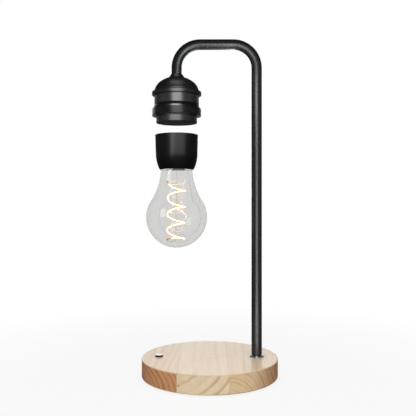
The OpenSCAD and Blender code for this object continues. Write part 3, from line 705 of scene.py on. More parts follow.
# The button's bright top and dark sides are painted reflections.
TRIM_CHROME = Plating("trim_chrome", (0.8, 0.8, 0.81), 0.1)
COLLAR_STEEL = Metal("collar_steel", (0.45, 0.46, 0.48), 0.18)
JACK_BLACK = Inlet("jack_black", (0.02, 0.02, 0.02), 0.42)
FASTENER_STEEL = Metal("fastener_steel", (0.55, 0.55, 0.56), 0.3, EVEN)
SPRING_STEEL = Metal("spring_steel", (0.5, 0.51, 0.53), 0.25)
MAGNET_NICKEL = Metal("magnet_nickel", (0.66, 0.64, 0.6), 0.18)
CORE_IRON = Metal("core_iron", (0.32, 0.32, 0.33), 0.4, (1.0, 1.0, 0.05))
LEAD_STEEL = Metal("lead_steel", (0.32, 0.31, 0.3), 0.35)
LEAD_BRONZE = Metal("lead_bronze", (0.72, 0.55, 0.4), 0.45)
BOARD_GREEN = Laminate("board_green")
BOARD_BROWN = Laminate("board_brown", (0.16, 0.07, 0.03), (0.3, 0.15, 0.07))
BASE_WOOD = StaveWood("base_wood")
GLOBE_GLASS = ClearGlass("globe_glass", (0.812, 0.812, 0.803), ior=1.64)
STEM_GLASS = ClearGlass("stem_glass", (0.93, 0.93, 0.925))
FILAMENT_CORE = HotCore("filament_core")
FILAMENT_SLEEVE = GlowSleeve("filament_sleeve")
FILAMENT_END = GlowSleeve("filament_end", (1.0, 0.5, 0.07), 0.95, 0.8)


def arc(centre: Point, radius: float, start: float, end: float, steps: int = 24) -> Outline:
    """Points along an arc.

    Args:
        centre: middle of the arc.
        radius: its radius.
        start: angle of the first point in degrees.
        end: angle of the last point in degrees.
        steps: stretches between the points.

    Returns:
        The points, first and last included.
    """
    angles = [math.radians(start + (end - start) * i / steps) for i in range(steps + 1)]
    return [(centre[0] + radius * math.cos(a), centre[1] + radius * math.sin(a)) for a in angles]


def rounded(corners: Sequence[Corner]) -> Outline:
    """Closed outline with rounded corners.

    Args:
        corners: radius and height of each corner, in order around the outline, and its fillet if it has one.

    Returns:
        The outline's points.
    """
    points: Outline = []
    for i, (r, z, *fillets) in enumerate(corners):
        here = Vector((r, z))
        if not fillets:
            points.append((r, z))
            continue
        fillet = fillets[0]
        back = (Vector(corners[i - 1][:2]) - here).normalized()
        ahead = (Vector(corners[(i + 1) % len(corners)][:2]) - here).normalized()
        half = back.angle(ahead) / 2
        middle = here + (back + ahead).normalized() * fillet / math.sin(half)
        first = (here + back * fillet / math.tan(half) - middle).normalized()
        last = (here + ahead * fillet / math.tan(half) - middle).normalized()
        for step in range(EDGE_STEPS + 1):
            spoke = first.slerp(last, step / EDGE_STEPS)
            points.append(tuple(middle + spoke * fillet))
    return points


def new_object(name: str, mesh: bpy.types.Mesh) -> Piece:
    """Links a mesh to the scene, smooth but for its sharp edges.

    Args:
        name: the piece's name.
        mesh: its mesh.

    Returns:
        The new object.
    """
    mesh.shade_smooth()
    mesh.set_sharp_from_angle(angle=SHARP_ANGLE)
    made = bpy.data.objects.new(name, mesh)
    bpy.context.scene.collection.objects.link(made)
    return made


def closed_mesh(name: str, points: list[Vector], faces: list[tuple[int, ...]]) -> bpy.types.Mesh:
    """A mesh from points and faces, with its faces looking out.

    Args:
        name: the mesh's name.
        points: its corners.
        faces: each face, as places in the list of corners.

    Returns:
        The mesh.
    """
    mesh = bpy.data.meshes.new(name)
    mesh.from_pydata(points, [], faces)
    work = bmesh.new()
    work.from_mesh(mesh)
    bmesh.ops.recalc_face_normals(work, faces=work.faces)
    work.to_mesh(mesh)
    work.free()
    return mesh


def turned(
    name: str, outline: Outline, axes: Point | Sequence[Point], steps: int = ROUND_STEPS,
) -> Piece:
    """Revolves an outline around one or more upright axes.

    Args:
        name: the piece's name.
        outline: radius and height of each point; a loop, or a line between two points on the axis.
        axes: X and Y of the axis, or of each axis.
        steps: stretches around it.

    Returns:
        The new object.
    """
    points: list[Vector] = []
    faces: list[tuple[int, ...]] = []
    for axis in [axes] if isinstance(axes, tuple) else axes:
        rings: list[list[int]] = []
        for r, z in outline:
            count = 1 if r < TINY else steps
            rings.append(list(range(len(points), len(points) + count)))
            for k in range(count):
                turn = 2 * math.pi * k / count
                points.append(Vector((axis[0] + r * math.cos(turn), axis[1] + r * math.sin(turn), z)))
        loop = len(rings[0]) > 1
        for low, high in zip(rings, rings[1:] + rings[:1] if loop else rings[1:]):
            for k in range(max(len(low), len(high))):
                corners = ((low, k), (low, k + 1), (high, k + 1), (high, k))
                faces.append(tuple(dict.fromkeys(ring[i % len(ring)] for ring, i in corners)))
    return new_object(name, closed_mesh(name, points, faces))


def swept(name: str, line: Sequence[Vector], radius: float, sides: int = 20) -> Piece:
    """Closed round bar along a line.

    Args:
        name: the piece's name.
        line: points along its middle.
        radius: its radius.
        sides: stretches around it.

    Returns:
        The new object.
    """
    last = len(line) - 1
    points: list[Vector] = []
    across = Vector((0.0, 0.0, 1.0))
    for i, here in enumerate(line):
        along = (line[min(i + 1, last)] - line[max(i - 1, 0)]).normalized()
        across = across - along * across.dot(along)
        if across.length < TINY:
            across = along.orthogonal()
        across.normalize()
        up = along.cross(across)
        for k in range(sides):
            turn = 2 * math.pi * k / sides
            points.append(here + (across * math.cos(turn) + up * math.sin(turn)) * radius)
    faces: list[tuple[int, ...]] = [
        (i * sides + k, i * sides + (k + 1) % sides, (i + 1) * sides + (k + 1) % sides, (i + 1) * sides + k)
        for i in range(last)
        for k in range(sides)
    ]
    faces.append(tuple(range(sides)))
    faces.append(tuple(range(last * sides, (last + 1) * sides)))
    return new_object(name, closed_mesh(name, points, faces))


def curve_through(points: Sequence[Vector], steps: int = 8) -> list[Vector]:
    """Smooth line through points.

    Args:
        points: points on the line, in order.
        steps: stretches between two of them.

    Returns:
        The line's points, first and last included.
    """
    line: list[Vector] = []
    for i in range(len(points) - 1):
        before, here = points[max(i - 1, 0)], points[i]
        there, after = points[i + 1], points[min(i + 2, len(points) - 1)]
        for step in range(steps):
            t = step / steps
            line.append(0.5 * (
                2 * here + (there - before) * t + (2 * before - 5 * here + 4 * there - after) * t * t
                + (3 * here - before - 3 * there + after) * t ** 3))
    line.append(points[-1].copy())
    return line


@dataclass
class Bench:
    """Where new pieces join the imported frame."""

    frame: dict[str, Any]

    def add(
        self, piece: Piece, finish: Finish, body: Body, slot: str, *nodes: str,
    ) -> Piece:
        """Dresses a piece and lets it ride on a body.

        Args:
            piece: the new object, in place.
            finish: its surface.
            body: the body that it moves with.
            slot: the record's material slot that it belongs to.
            nodes: the nodes of the frame that it stands for.

        Returns:
            The piece.
        """
        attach(piece, body.value)
        log.info("%s rides on %s", piece.name, body.value)
        return self.dress(piece, finish, slot, *nodes)

    @staticmethod
    def dress(piece: Piece, finish: Finish, slot: str, *nodes: str) -> Piece:
        """Gives a piece its finish and hides the nodes that it stands for.

        Args:
            piece: the new object.
            finish: its surface.
            slot: the record's material slot that it belongs to; not used.
            nodes: the nodes of the frame that it stands for.

        Returns:
            The piece.
        """
        piece.data.materials.clear()
        piece.data.materials.append(finish.material())
        if nodes:
            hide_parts(*nodes)
        log.info("%s: %s, for %s", piece.name, finish.name, ", ".join(nodes) or "nothing")
        return piece

    def paint(self, finish: Finish, *nodes: str) -> None:
        """Gives nodes of the frame a finish.

        Args:
            finish: the surface.
            nodes: the names of the nodes.
        """
        for name in nodes:
            data = self.frame["nodes"][name].data
            data.materials.clear()
            data.materials.append(finish.material())
            log.info("%s: %s", name, finish.name)

    @staticmethod
    def span(node: str) -> tuple[float, float]:
        """Lowest and highest point of a node."""
        low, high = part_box(node)
        return low.z, high.z

    @staticmethod
    def reach(node: str) -> float:
        """Radius of a round node."""
        low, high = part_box(node)
        return (high.x - low.x) / 2

    @staticmethod
    def axis(node: str) -> Point:
        """X and Y of a round node's axis."""
        low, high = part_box(node)
        return (low.x + high.x) / 2, (low.y + high.y) / 2

    @staticmethod
    def centre(node: str) -> Triple:
        """Middle of a node's box."""
        low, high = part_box(node)
        return tuple((low + high) / 2)

    @staticmethod
    def tube_r() -> float:
        """Radius of the bent tube."""
        low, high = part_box("arm_tube")
        return (high.y - low.y) / 2


@dataclass(frozen=True)
class Panel:
    """A soft rectangular lamp, given by the angles at which the piece that it lights sees it.

    Turns are degrees to the right of the camera, lifts are degrees above the level. A lamp that is seen
    through glass also shows as a gleam on the glass's far wall.
    """

    name: str
    aim: Triple
    turn: Point
    lift: Point
    radiance: float
    away: float = 1.2
    mirrored: bool = True
    through: bool = False

    def build(self, pieces: Sequence[Piece] = ()) -> bpy.types.Object:
        """Hangs the lamp.

        Args:
            pieces: the only pieces that it lights, or all where none are given.

        Returns:
            The new lamp.
        """
        a, e = (math.radians(sum(pair) / 2) for pair in (self.turn, self.lift))
        width, height = (
            2 * self.away * math.tan(math.radians(pair[1] - pair[0]) / 2) for pair in (self.turn, self.lift))
        back = Vector((math.sin(a) * math.cos(e), -math.cos(a) * math.cos(e), math.sin(e)))
        place = Vector(self.aim) + back * self.away
        made = hang(self.name, place, back, (width, height), self.radiance, pieces)
        made.visible_glossy = self.mirrored
        made.visible_transmission = self.through
        return made


def hang(
    name: str,
    place: Vector,
    back: Vector,
    size: Point,
    radiance: float,
    pieces: Sequence[Piece] = (),
) -> bpy.types.Object:
    """Hangs a rectangular lamp that the camera doesn't see.

    Args:
        name: the lamp's name.
        place: its middle.
        back: direction away from what it lights.
        size: width and height.
        radiance: how bright its face is, where 1 is white.
        pieces: the only pieces that it lights, or all where none are given.

    Returns:
        The new lamp.
    """
    data = bpy.data.lights.new(name, "AREA")
    data.shape = "RECTANGLE"
    data.size, data.size_y = size
    data.energy = radiance * math.pi * size[0] * size[1]
    made = bpy.data.objects.new(name, data)
    made.location = place
    made.rotation_euler = back.to_track_quat("Z", "Y").to_euler()
    made.visible_camera = False
    made.visible_transmission = False
    bpy.context.scene.collection.objects.link(made)
    if pieces:
        group = bpy.data.collections.new(name + "_pieces")
        for piece in pieces:
            group.objects.link(piece)
        made.light_linking.receiver_collection = group
    log.info("%s: lamp of %.2f by %.2f m", name, *size)
    return made


@dataclass
class Studio:
    """Camera, pale floor, soft lamps and white surroundings."""

    lens_mm: float = 51.92
    sensor_mm: float = 36.0
    camera_at: Triple = (-1.97 * MM, -665.7 * MM, 190.2 * MM)
    shift_y: float = -0.0092
    floor_r: float = 4.0
    floor_steps: int = 96
    floor_pale: Colour = (0.9, 0.9, 0.9)
    floor_gloss: float = 0.06
    keep_shadow: float = 0.14
    fade_from: float = 0.16
    fade_to: float = 0.5
    ambient: float = 0.32
    room_grey: float = 0.28
    ceiling_grey: float = 0.04
    ceiling_from: Point = (0.22, 0.52)
    back_dim: float = 0.4
    back_from: Point = (-0.2, 0.5)
    glass_grey: float = 0.4
    strip_away: float = 130.0 * MM
    strip_w: float = 50.0 * MM
    strip_in: float = 2.0 * MM
    strip_short: float = 4.0 * MM
    foot_lamp: Point = (0.24, 0.05)
    foot_level: float = 4.0
    room_middle: Triple = (0.0, 0.0, 0.15)
    wood_middle: Triple = (0.0, 0.0, 0.01)
    wood_top: Triple = (0.0, 0.0, 0.02)
    wood_left: Triple = (-0.07, 0.0, 0.01)
    ground: Piece | None = None

    def build(self) -> None:
        """Makes everything around the lamp but its lamps."""
        bpy.context.scene.view_settings.view_transform = "Standard"
        self.camera()
        self.floor()
        self.world()

    def camera(self) -> None:
        """A level camera at the photograph's viewing angle."""
        data = bpy.data.cameras.new("camera")
        data.lens = self.lens_mm
        data.sensor_width = self.sensor_mm
        data.shift_y = self.shift_y
        eye = bpy.data.objects.new("camera", data)
        eye.location = self.camera_at
        eye.rotation_euler = (math.pi / 2, 0.0, 0.0)
        bpy.context.scene.collection.objects.link(eye)
        bpy.context.scene.camera = eye

    def floor(self) -> None:
        """A round pale floor that keeps the lamp's shadow, turns white further out and is dim to gloss."""
        work = bmesh.new()
        bmesh.ops.create_circle(work, cap_ends=True, segments=self.floor_steps, radius=self.floor_r)
        mesh = bpy.data.meshes.new("floor")
        work.to_mesh(mesh)
        work.free()
        self.ground = bpy.data.objects.new("floor", mesh)
        bpy.context.scene.collection.objects.link(self.ground)
        material = bpy.data.materials.new("floor_white")
        tree = Tree(material)
        pale = tree.node("ShaderNodeBsdfDiffuse", inputs={"Color": opaque(self.floor_pale)})
        gloss = tree.ray(Ray.GLOSSY)
        seen = tree.seen()
        place = tree.node("ShaderNodeTexCoord", output="Object")
        away = tree.node("ShaderNodeVectorMath", {"operation": "LENGTH"}, {0: place}, "Value")
        white = away.rise(self.fade_from, self.fade_to, 1.0 - self.keep_shadow, 1.0)
        mirrored = tree.ray(Ray.SHARP) * (self.glass_grey - self.floor_gloss) + self.floor_gloss
        glow = tree.glow(WHITE, seen.largest(gloss * mirrored))
        tree.finish(tree.blend((seen * white).largest(gloss), pale, glow))
        mesh.materials.append(material)

    def world(self) -> None:
        """White to the camera and through glass, a dim room to gloss, soft light to the rest."""
        world = bpy.data.worlds.new("studio")
        bpy.context.scene.world = world
        tree = Tree(world)
        _, back, up = tree.parts(tree.node("ShaderNodeTexCoord", output="Generated"))
        room = up.rise(*self.ceiling_from, self.room_grey, self.ceiling_grey)
        room = room * back.rise(*self.back_from, 1.0, self.back_dim)
        room = tree.ray(Ray.SHARP) * (self.glass_grey - room) + room
        level = tree.ray(Ray.GLOSSY) * (room - self.ambient) + self.ambient
        seen = tree.seen()
        level = seen * (1.0 - level) + level
        light = tree.node("ShaderNodeBackground", inputs={"Color": opaque(WHITE), "Strength": level})
        tree.finish(light, "ShaderNodeOutputWorld")

    def lamps(
        self,
        head: Sequence[Piece],
        cap: Sequence[Piece],
        glass: Sequence[Piece],
        pale: Sequence[Piece],
        chrome: Sequence[Piece],
        tube: Piece,
        wood: Piece,
    ) -> None:
        """Hangs the soft lamps, most of them for one group of pieces.

        Args:
            head: black pieces of the head.
            cap: black pieces of the floating cap.
            glass: clear pieces.
            pale: white pieces inside the glass and at its neck.
            chrome: plated pieces.
            tube: the bent tube.
            wood: the base.
        """
        top = self.wood_top
        Panel("overhead", self.room_middle, (-30.0, 30.0), (62.0, 98.0), 2.2, 1.3, False).build(
            [wood, self.ground])
        Panel("wood_front", self.wood_middle, (-32.0, 32.0), (4.0, 50.0), 2.1, 1.2, False).build([wood])
        Panel("wood_wall", top, (130.0, 230.0), (0.0, 42.0), 1.0).build([wood, *chrome])
        Panel("wood_rim", self.wood_left, (-150.0, -104.0), (-4.0, 26.0), 1.0).build([wood])
        Panel("collar_front", top, (-14.0, 18.0), (0.0, 40.0), 1.0).build(chrome[:1])
        Panel("button_front", top, (-9.0, 11.0), (0.0, 36.0), 5.0).build(chrome[1:])
        self.head_lamps(*head)
        down = Bench.centre("bulb_cap")
        Panel("cap_key", down, (-29.0, -10.0), (-1.0, 40.0), 10.5).build(cap[:1])
        Panel("cap_fill", down, (-7.0, 47.0), (-1.0, 40.0), 4.4).build(cap[:1])
        Panel("cap_rear", down, (166.0, 194.0), (5.0, 36.0), 9.0).build(cap[:1])
        globe = Bench.centre("bulb_glass")
        Panel("glass_window", globe, (-62.0, -41.0), (0.0, 28.0), 1.3, through=True).build(glass)
        Panel("lead_light", globe, (-40.0, 40.0), (-64.0, 2.0), 15.0, 0.8).build(pale[:1])
        Panel("neck_light", globe, (-40.0, 40.0), (-30.0, 40.0), 3.0, 0.8).build(pale[1:])
        self.strips(tube)

    @staticmethod
    def head_lamps(dome: Piece, shell: Piece, ring: Piece, nose: Piece) -> None:
        """Hangs the lamps that draw the head's forms.

        Args:
            dome: dome with its bead.
            shell: straight middle.
            ring: screwed ring.
            nose: cup below the ring.
        """
        aim = Bench.centre("head_ring")
        Panel("head_key", aim, (-20.0, 27.0), (-5.0, 31.0), 6.4).build([dome, shell, ring, nose])
        Panel("dome_low", aim, (-20.0, 16.0), (55.0, 92.0), 1.6).build([dome])
        Panel("dome_high", aim, (-20.0, 16.0), (93.0, 118.0), 0.15).build([dome])
        Panel("ring_edge", aim, (-112.0, -68.0), (75.0, 100.0), 25.0).build([ring])
        Panel("nose_key", aim, (-36.0, -19.0), (-5.0, 31.0), 5.5).build([nose])
        Panel("ring_skirt", aim, (-60.0, 60.0), (-78.0, -32.0), 4.0, 0.3).build([ring])
        Panel("bead_edge", aim, (-14.0, 14.0), (-78.0, -32.0), 8.0, 0.3).build([dome])
        Panel("under_ring", aim, (156.0, 204.0), (-13.0, -2.0), 0.35).build([dome, ring])
        Panel("head_left", aim, (-88.0, -42.0), (-20.0, 30.0), 0.17).build([shell, nose])
        Panel("head_right", aim, (36.0, 86.0), (-20.0, 30.0), 0.17).build([shell, nose])
        Panel("shell_rim", aim, (-162.0, -124.0), (-22.0, 24.0), 0.38).build([shell, nose])
        Panel("ring_rim", aim, (-162.0, -124.0), (4.0, 24.0), 1.7).build([ring])
        Panel("head_rear", aim, (166.0, 194.0), (5.0, 36.0), 5.0).build([shell, ring, nose])
        Panel("right_rim", aim, (126.0, 160.0), (4.0, 24.0), 0.25).build([shell, ring, nose])

    def strips(self, tube: Piece) -> None:
        """Narrow lamps along the tube's pole and its arm, before and behind it, and one at its foot.

        Args:
            tube: the bent tube.
        """
        low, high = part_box("arm_tube")
        radius = Bench.tube_r()
        pole_x = high.x - radius - self.strip_in
        # Each end's side, the lift of the arm's lamp, and how bright the pole's lamp and the arm's are.
        for end, sign, lift, pole_level, arm_level in (
            ("front", -1.0, -0.27, 10.5, 10.5), ("rear", 1.0, 1.1, 8.0, 1.5),
        ):
            back = Vector((0.0, sign, 0.0))
            away = sign * self.strip_away
            pole = Vector((pole_x, away, high.z / 2))
            hang(f"pole_{end}", pole, back, (self.strip_w, high.z - self.strip_short), pole_level, [tube])
            arm = Vector(((low.x + high.x) / 2, away, high.z - radius + lift * self.strip_away))
            hang(f"arm_{end}", arm, back, (high.x - low.x, self.strip_w), arm_level, [tube])
        foot = Vector((pole_x, -self.strip_away, self.foot_lamp[1] / 2))
        hang("foot_front", foot, Vector((0.0, -1.0, 0.0)), self.foot_lamp, self.foot_level, [tube])


@dataclass
class Base:
    """Wooden base with its plate, screws, feet, inlet and inner parts."""

    bench: Bench
    foot_r: float = 7.0 * MM
    foot_edge: float = 0.4 * MM
    foot_dish: float = 0.3 * MM
    foot_lip: float = 1.6 * MM
    dish_edge: float = 0.3 * MM
    foot_steps: int = 72

    def build(self) -> None:
        """Dresses the base from top to bottom."""
        bench = self.bench
        bench.paint(BASE_WOOD, "base_disc")
        bench.paint(PLATE_BLACK, "bottom_plate")
        bench.paint(HOUSING_BLACK, "switch_body")
        bench.paint(JACK_BLACK, "dc_jack")
        bench.paint(
            FASTENER_STEEL, "pole_washer", "pole_nut", "switch_screws", "board_screws", "plate_screws")
        bench.paint(WIRE_RED, "switch_wire", "jack_lead")
        bench.paint(CABLE_BLACK, "head_lead")
        bench.paint(BOARD_GREEN, "power_board")
        bench.paint(NYLON_WHITE, "board_standoffs")
        bench.paint(FERRITE_GREY, "charging_ferrite")
        bench.paint(Winding("charging_coil"), "charging_coil")
        self.feet()

    def feet(self) -> None:
        """Four round feet with a rounded edge and a shallow dish below."""
        z0, z1 = self.bench.span("rubber_feet")
        lip = self.foot_r - self.foot_lip
        outline = [(0.0, z0 + self.foot_dish)] + rounded([
            (lip - self.foot_lip / 2, z0 + self.foot_dish, self.dish_edge),
            (lip, z0, self.dish_edge),
            (self.foot_r, z0, self.foot_edge),
            (self.foot_r, z1),
            (0.0, z1),
        ])
        out = self.bench.reach("rubber_feet") - self.foot_r
        feet = turned("feet", outline, [(out, 0.0), (0.0, out), (-out, 0.0), (0.0, -out)], self.foot_steps)
        self.bench.add(feet, FOOT_RUBBER, Body.ROOT, "foot_rubber", "rubber_feet")


@dataclass
class Stand:
    """Bent tube and the collar at its foot."""

    bench: Bench
    collar_edge: float = 0.25 * MM
    collar_gap: float = 0.1 * MM
    collar_rise: float = 2.3 * MM
    collar_rim: float = 1.5 * MM
    collar_lean: float = 0.45 * MM
    collar_top: float = 0.3 * MM

    def build(self) -> Piece:
        """Dresses the tube and turns the collar.

        Returns:
            The collar.
        """
        bench = self.bench
        bench.paint(TUBE_BLACK, "arm_tube")
        z0 = bench.span("pole_collar")[0]
        inner = bench.tube_r() + self.collar_gap
        outer = bench.reach("pole_collar")
        outline = rounded([
            (inner, z0),
            (outer, z0),
            (outer - self.collar_lean, z0 + self.collar_rim, self.collar_edge),
            (inner + self.collar_top, z0 + self.collar_rise, self.collar_edge),
            (inner, z0 + self.collar_rise),
        ])
        collar = turned("collar", outline, bench.axis("pole_collar"))
        return bench.add(collar, COLLAR_STEEL, Body.ROOT, "trim_chrome", "pole_collar")


@dataclass
class Button:
    """Plated push button with a bevelled, slightly dished top."""

    bench: Bench
    shaft_r: float = 4.5 * MM
    flange_z: float = 14.4 * MM
    pin_r: float = 1.5 * MM
    flange_t: float = 1.2 * MM
    bevel: float = 0.5 * MM
    dish_r: float = 3.4 * MM
    dish: float = 0.12 * MM
    pin_edge: float = 0.2 * MM
    flange_edge: float = 0.1 * MM
    dish_edge: float = 0.15 * MM
    dish_turn: float = 0.2 * MM
    spring_r: float = 3.4 * MM
    spring_wire_r: float = 0.25 * MM
    spring_turns: float = 2.5
    spring_steps: int = 60
    spring_sides: int = 10

    def spring(self) -> None:
        """Return spring, wound from its seat up to the button."""
        bench = self.bench
        z0, z1 = bench.span("switch_spring")
        x, y = bench.axis("switch_button")
        rise = z1 - z0 - 2 * self.spring_wire_r
        line: list[Vector] = []
        for i in range(self.spring_steps + 1):
            share = i / self.spring_steps
            turn = -2 * math.pi * self.spring_turns * share
            out = Vector((math.cos(turn), math.sin(turn), 0.0)) * self.spring_r
            line.append(Vector((x, y, z0 + self.spring_wire_r + rise * share)) + out)
        coil = swept("press_spring", line, self.spring_wire_r, self.spring_sides)
        bench.dress(coil, SPRING_STEEL, "spring_steel", "switch_spring")
        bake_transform(coil)

    def build(self) -> Piece:
        """Turns the button and winds its spring.

        Returns:
            The button.
        """
        self.spring()
        bench = self.bench
        z0, z1 = bench.span("switch_button")
        flange_r = bench.reach("switch_button")
        low = self.flange_z - self.flange_t
        outline = [(0.0, z0)] + rounded([
            (self.pin_r, z0, self.pin_edge),
            (self.pin_r, low),
            (flange_r, low, self.flange_edge),
            (flange_r, self.flange_z, self.flange_edge),
            (self.shaft_r, self.flange_z),
            (self.shaft_r, z1, self.bevel),
            (self.dish_r, z1, self.dish_edge),
            (self.dish_r - self.bevel, z1 - self.dish, self.dish_turn),
            (0.0, z1 - self.dish),
        ])
        knob = turned("push_button", outline, bench.axis("switch_button"))
        return bench.add(knob, TRIM_CHROME, Body.BUTTON, "trim_chrome", "switch_button")


@dataclass
class Head:
    """Black head: dome with neck and bead, shell, ring and nose, and the levitation unit inside."""

    bench: Bench
    dome_over: float = 0.2 * MM
    dome_sink: float = 1.75 * MM
    dome_rise: float = 16.9 * MM
    dome_wall: float = 2.2 * MM
    shoulder_r: float = 15.3 * MM
    bead_h: float = 5.1 * MM
    bead_lift: float = 0.7 * MM
    bead_top: float = 1.0 * MM
    bead_bottom: float = 0.6 * MM
    neck_foot: float = 3.2 * MM
    neck_top: float = 0.5 * MM
    neck_fillet: float = 1.2 * MM
    boss_r: float = 10.0 * MM
    boss_drop: float = 5.5 * MM
    seat_drop: float = 1.2 * MM
    slip: float = 0.1 * MM
    wall: float = 2.0 * MM
    groove_h: float = 1.6 * MM
    groove_depth: float = 1.0 * MM
    ring_slope_h: float = 5.5 * MM
    ring_turn: float = 1.4 * MM
    ring_drop: float = 1.25 * MM
    ring_lift: float = 0.9 * MM
    ring_land: float = 0.15 * MM
    ring_edge: float = 0.4 * MM
    skirt_w: float = 0.45 * MM
    skirt_h: float = 0.65 * MM
    flare_out: float = 0.6 * MM
    flare_h: float = 3.0 * MM
    flare_turn: float = 1.0 * MM
    ring_lip: float = 1.2 * MM
    flange_t: float = 1.5 * MM
    nose_r: float = 22.6 * MM
    nose_floor: float = 1.6 * MM
    nose_edge: float = 0.4 * MM
    soft_edge: float = 0.35 * MM
    dome_steps: tuple[int, int] = (24, 10)
    inside_steps: tuple[int, int] = (8, 16)

    def __post_init__(self) -> None:
        """Takes the axis and the radii from the frame."""
        self.axis = self.bench.axis("head_ring")
        self.shell_r = self.bench.reach("head_shell")
        self.tube_r = self.bench.tube_r()

    def build(self) -> list[Piece]:
        """Turns the four black pieces and dresses what is inside them.

        Returns:
            The black pieces.
        """
        bench = self.bench
        pieces = [
            bench.add(turned(name, outline, self.axis), finish, Body.ROOT, "head_black", node)
            for name, outline, finish, node in (
                ("dome", self.dome(), DOME_BLACK, "head_dome"),
                ("shell", self.shell(), HEAD_BLACK, "head_shell"),
                ("ring", self.ring(), RING_BLACK, "head_ring"),
                ("nose", self.nose(), NOSE_BLACK, "head_nose"),
            )
        ]
        bench.paint(FASTENER_STEEL, "head_nut")
        bench.paint(BOARD_GREEN, "driver_board", "sensor_board")
        bench.paint(MAGNET_NICKEL, "bias_magnet")
        bench.paint(CORE_IRON, "iron_core")
        bench.paint(NYLON_WHITE, "coil_bobbin")
        bench.paint(Winding("lift_winding", self.axis[0]), "lift_coil", "transmit_coil")
        return pieces

    def dome(self) -> Outline:
        """Outline of the dome with its neck, boss and bead.

        Returns:
            Radius and height of its points.
        """
        z0, z1 = self.bench.span("head_dome")
        bead_r = self.bench.reach("head_dome")
        bead_z = z0 + self.bead_h
        middle = bead_z - self.dome_sink
        top = bead_z + self.dome_rise
        seat_z = bead_z - self.seat_drop
        boss_z = top - self.boss_drop
        round_r = self.shell_r + self.dome_over - self.shoulder_r
        height = top - middle
        crown_r = (height + self.shoulder_r) / 2 + round_r ** 2 / (2 * (height - self.shoulder_r))
        crown = (0.0, top - crown_r)
        side = (round_r, middle)
        turn = math.degrees(math.atan2(middle - crown[1], round_r))
        foot_r, hole_r = self.tube_r + self.neck_foot, self.tube_r + self.slip
        outer_low = math.degrees(math.asin(self.dome_sink / self.shoulder_r))
        inner_low = math.degrees(math.asin((seat_z - middle) / (self.shoulder_r - self.dome_wall)))
        inner_crown = crown_r - self.dome_wall
        outer_high = math.degrees(math.acos(foot_r / crown_r))
        inner_high = math.degrees(math.acos(self.boss_r / inner_crown))
        outside = arc(side, self.shoulder_r, outer_low, turn, self.dome_steps[0])
        outside += arc(crown, crown_r, turn, outer_high, self.dome_steps[1])[1:]
        inside = arc(crown, inner_crown, inner_high, turn, self.inside_steps[0])
        inside += arc(side, self.shoulder_r - self.dome_wall, turn, inner_low, self.inside_steps[1])[1:]
        sleeve = self.shell_r + self.slip
        return rounded([
            (sleeve, z0 + self.bead_lift),
            (bead_r, z0 + self.bead_lift, self.bead_bottom),
            (bead_r, bead_z, self.bead_top),
            *outside[:-1],
            (*outside[-1], self.neck_fillet),
            (self.tube_r + self.neck_top, z1, self.soft_edge),
            (hole_r, z1),
            (hole_r, boss_z),
            (self.boss_r, boss_z),
            *inside,
            (sleeve, seat_z),
        ])

    def shell(self) -> Outline:
        """Outline of the straight part with the shadow groove above the ring.

        Returns:
            Radius and height of its points.
        """
        z0, z1 = self.bench.span("head_shell")
        edge_z = self.bench.span("head_ring")[1]
        ring_top = edge_z - self.ring_drop
        bore = self.shell_r - self.wall
        deep = self.shell_r - self.groove_depth
        return rounded([
            (bore, z0),
            (self.shell_r, z0),
            (self.shell_r, ring_top - self.soft_edge),
            (deep, ring_top - self.soft_edge),
            (deep, edge_z - self.groove_h),
            (self.shell_r, edge_z, self.soft_edge / 2),
            (self.shell_r, z1),
            (bore, z1),
        ])

    def ring(self) -> Outline:
        """Outline of the screwed ring with its sloping top.

        Returns:
            Radius and height of its points.
        """
        z0, z1 = self.bench.span("head_ring")
        ring_r = self.bench.reach("head_ring")
        lip_z = z0 + self.ring_lip
        sleeve = self.shell_r + self.slip
        top = z1 - self.ring_drop
        low = z0 + self.ring_lift
        bore = self.nose_r + self.slip
        return rounded([
            (bore, low - self.skirt_h),
            (bore + self.skirt_w, low),
            (ring_r, low, self.ring_edge),
            (ring_r, z1 - self.ring_slope_h, self.ring_turn),
            (sleeve + self.flare_out, z1 - self.flare_h, self.flare_turn),
            (sleeve + self.ring_land, top, self.soft_edge / 3),
            (sleeve, top),
            (sleeve, lip_z),
            (bore, lip_z),
        ])

    def nose(self) -> Outline:
        """Outline of the closed cup below the ring.

        Returns:
            Radius and height of its points.
        """
        z0, z1 = self.bench.span("head_nose")
        lip_z = self.bench.span("head_ring")[0] + self.ring_lip
        inner = self.nose_r - self.wall
        return [(0.0, z0)] + rounded([
            (self.nose_r, z0, self.nose_edge),
            (self.nose_r, lip_z),
            (self.shell_r, lip_z),
            (self.shell_r, lip_z + self.flange_t),
            (self.nose_r, lip_z + self.flange_t),
            (self.nose_r, z1),
            (inner, z1),
            (inner, z0 + self.nose_floor),
            (0.0, z0 + self.nose_floor),
        ])


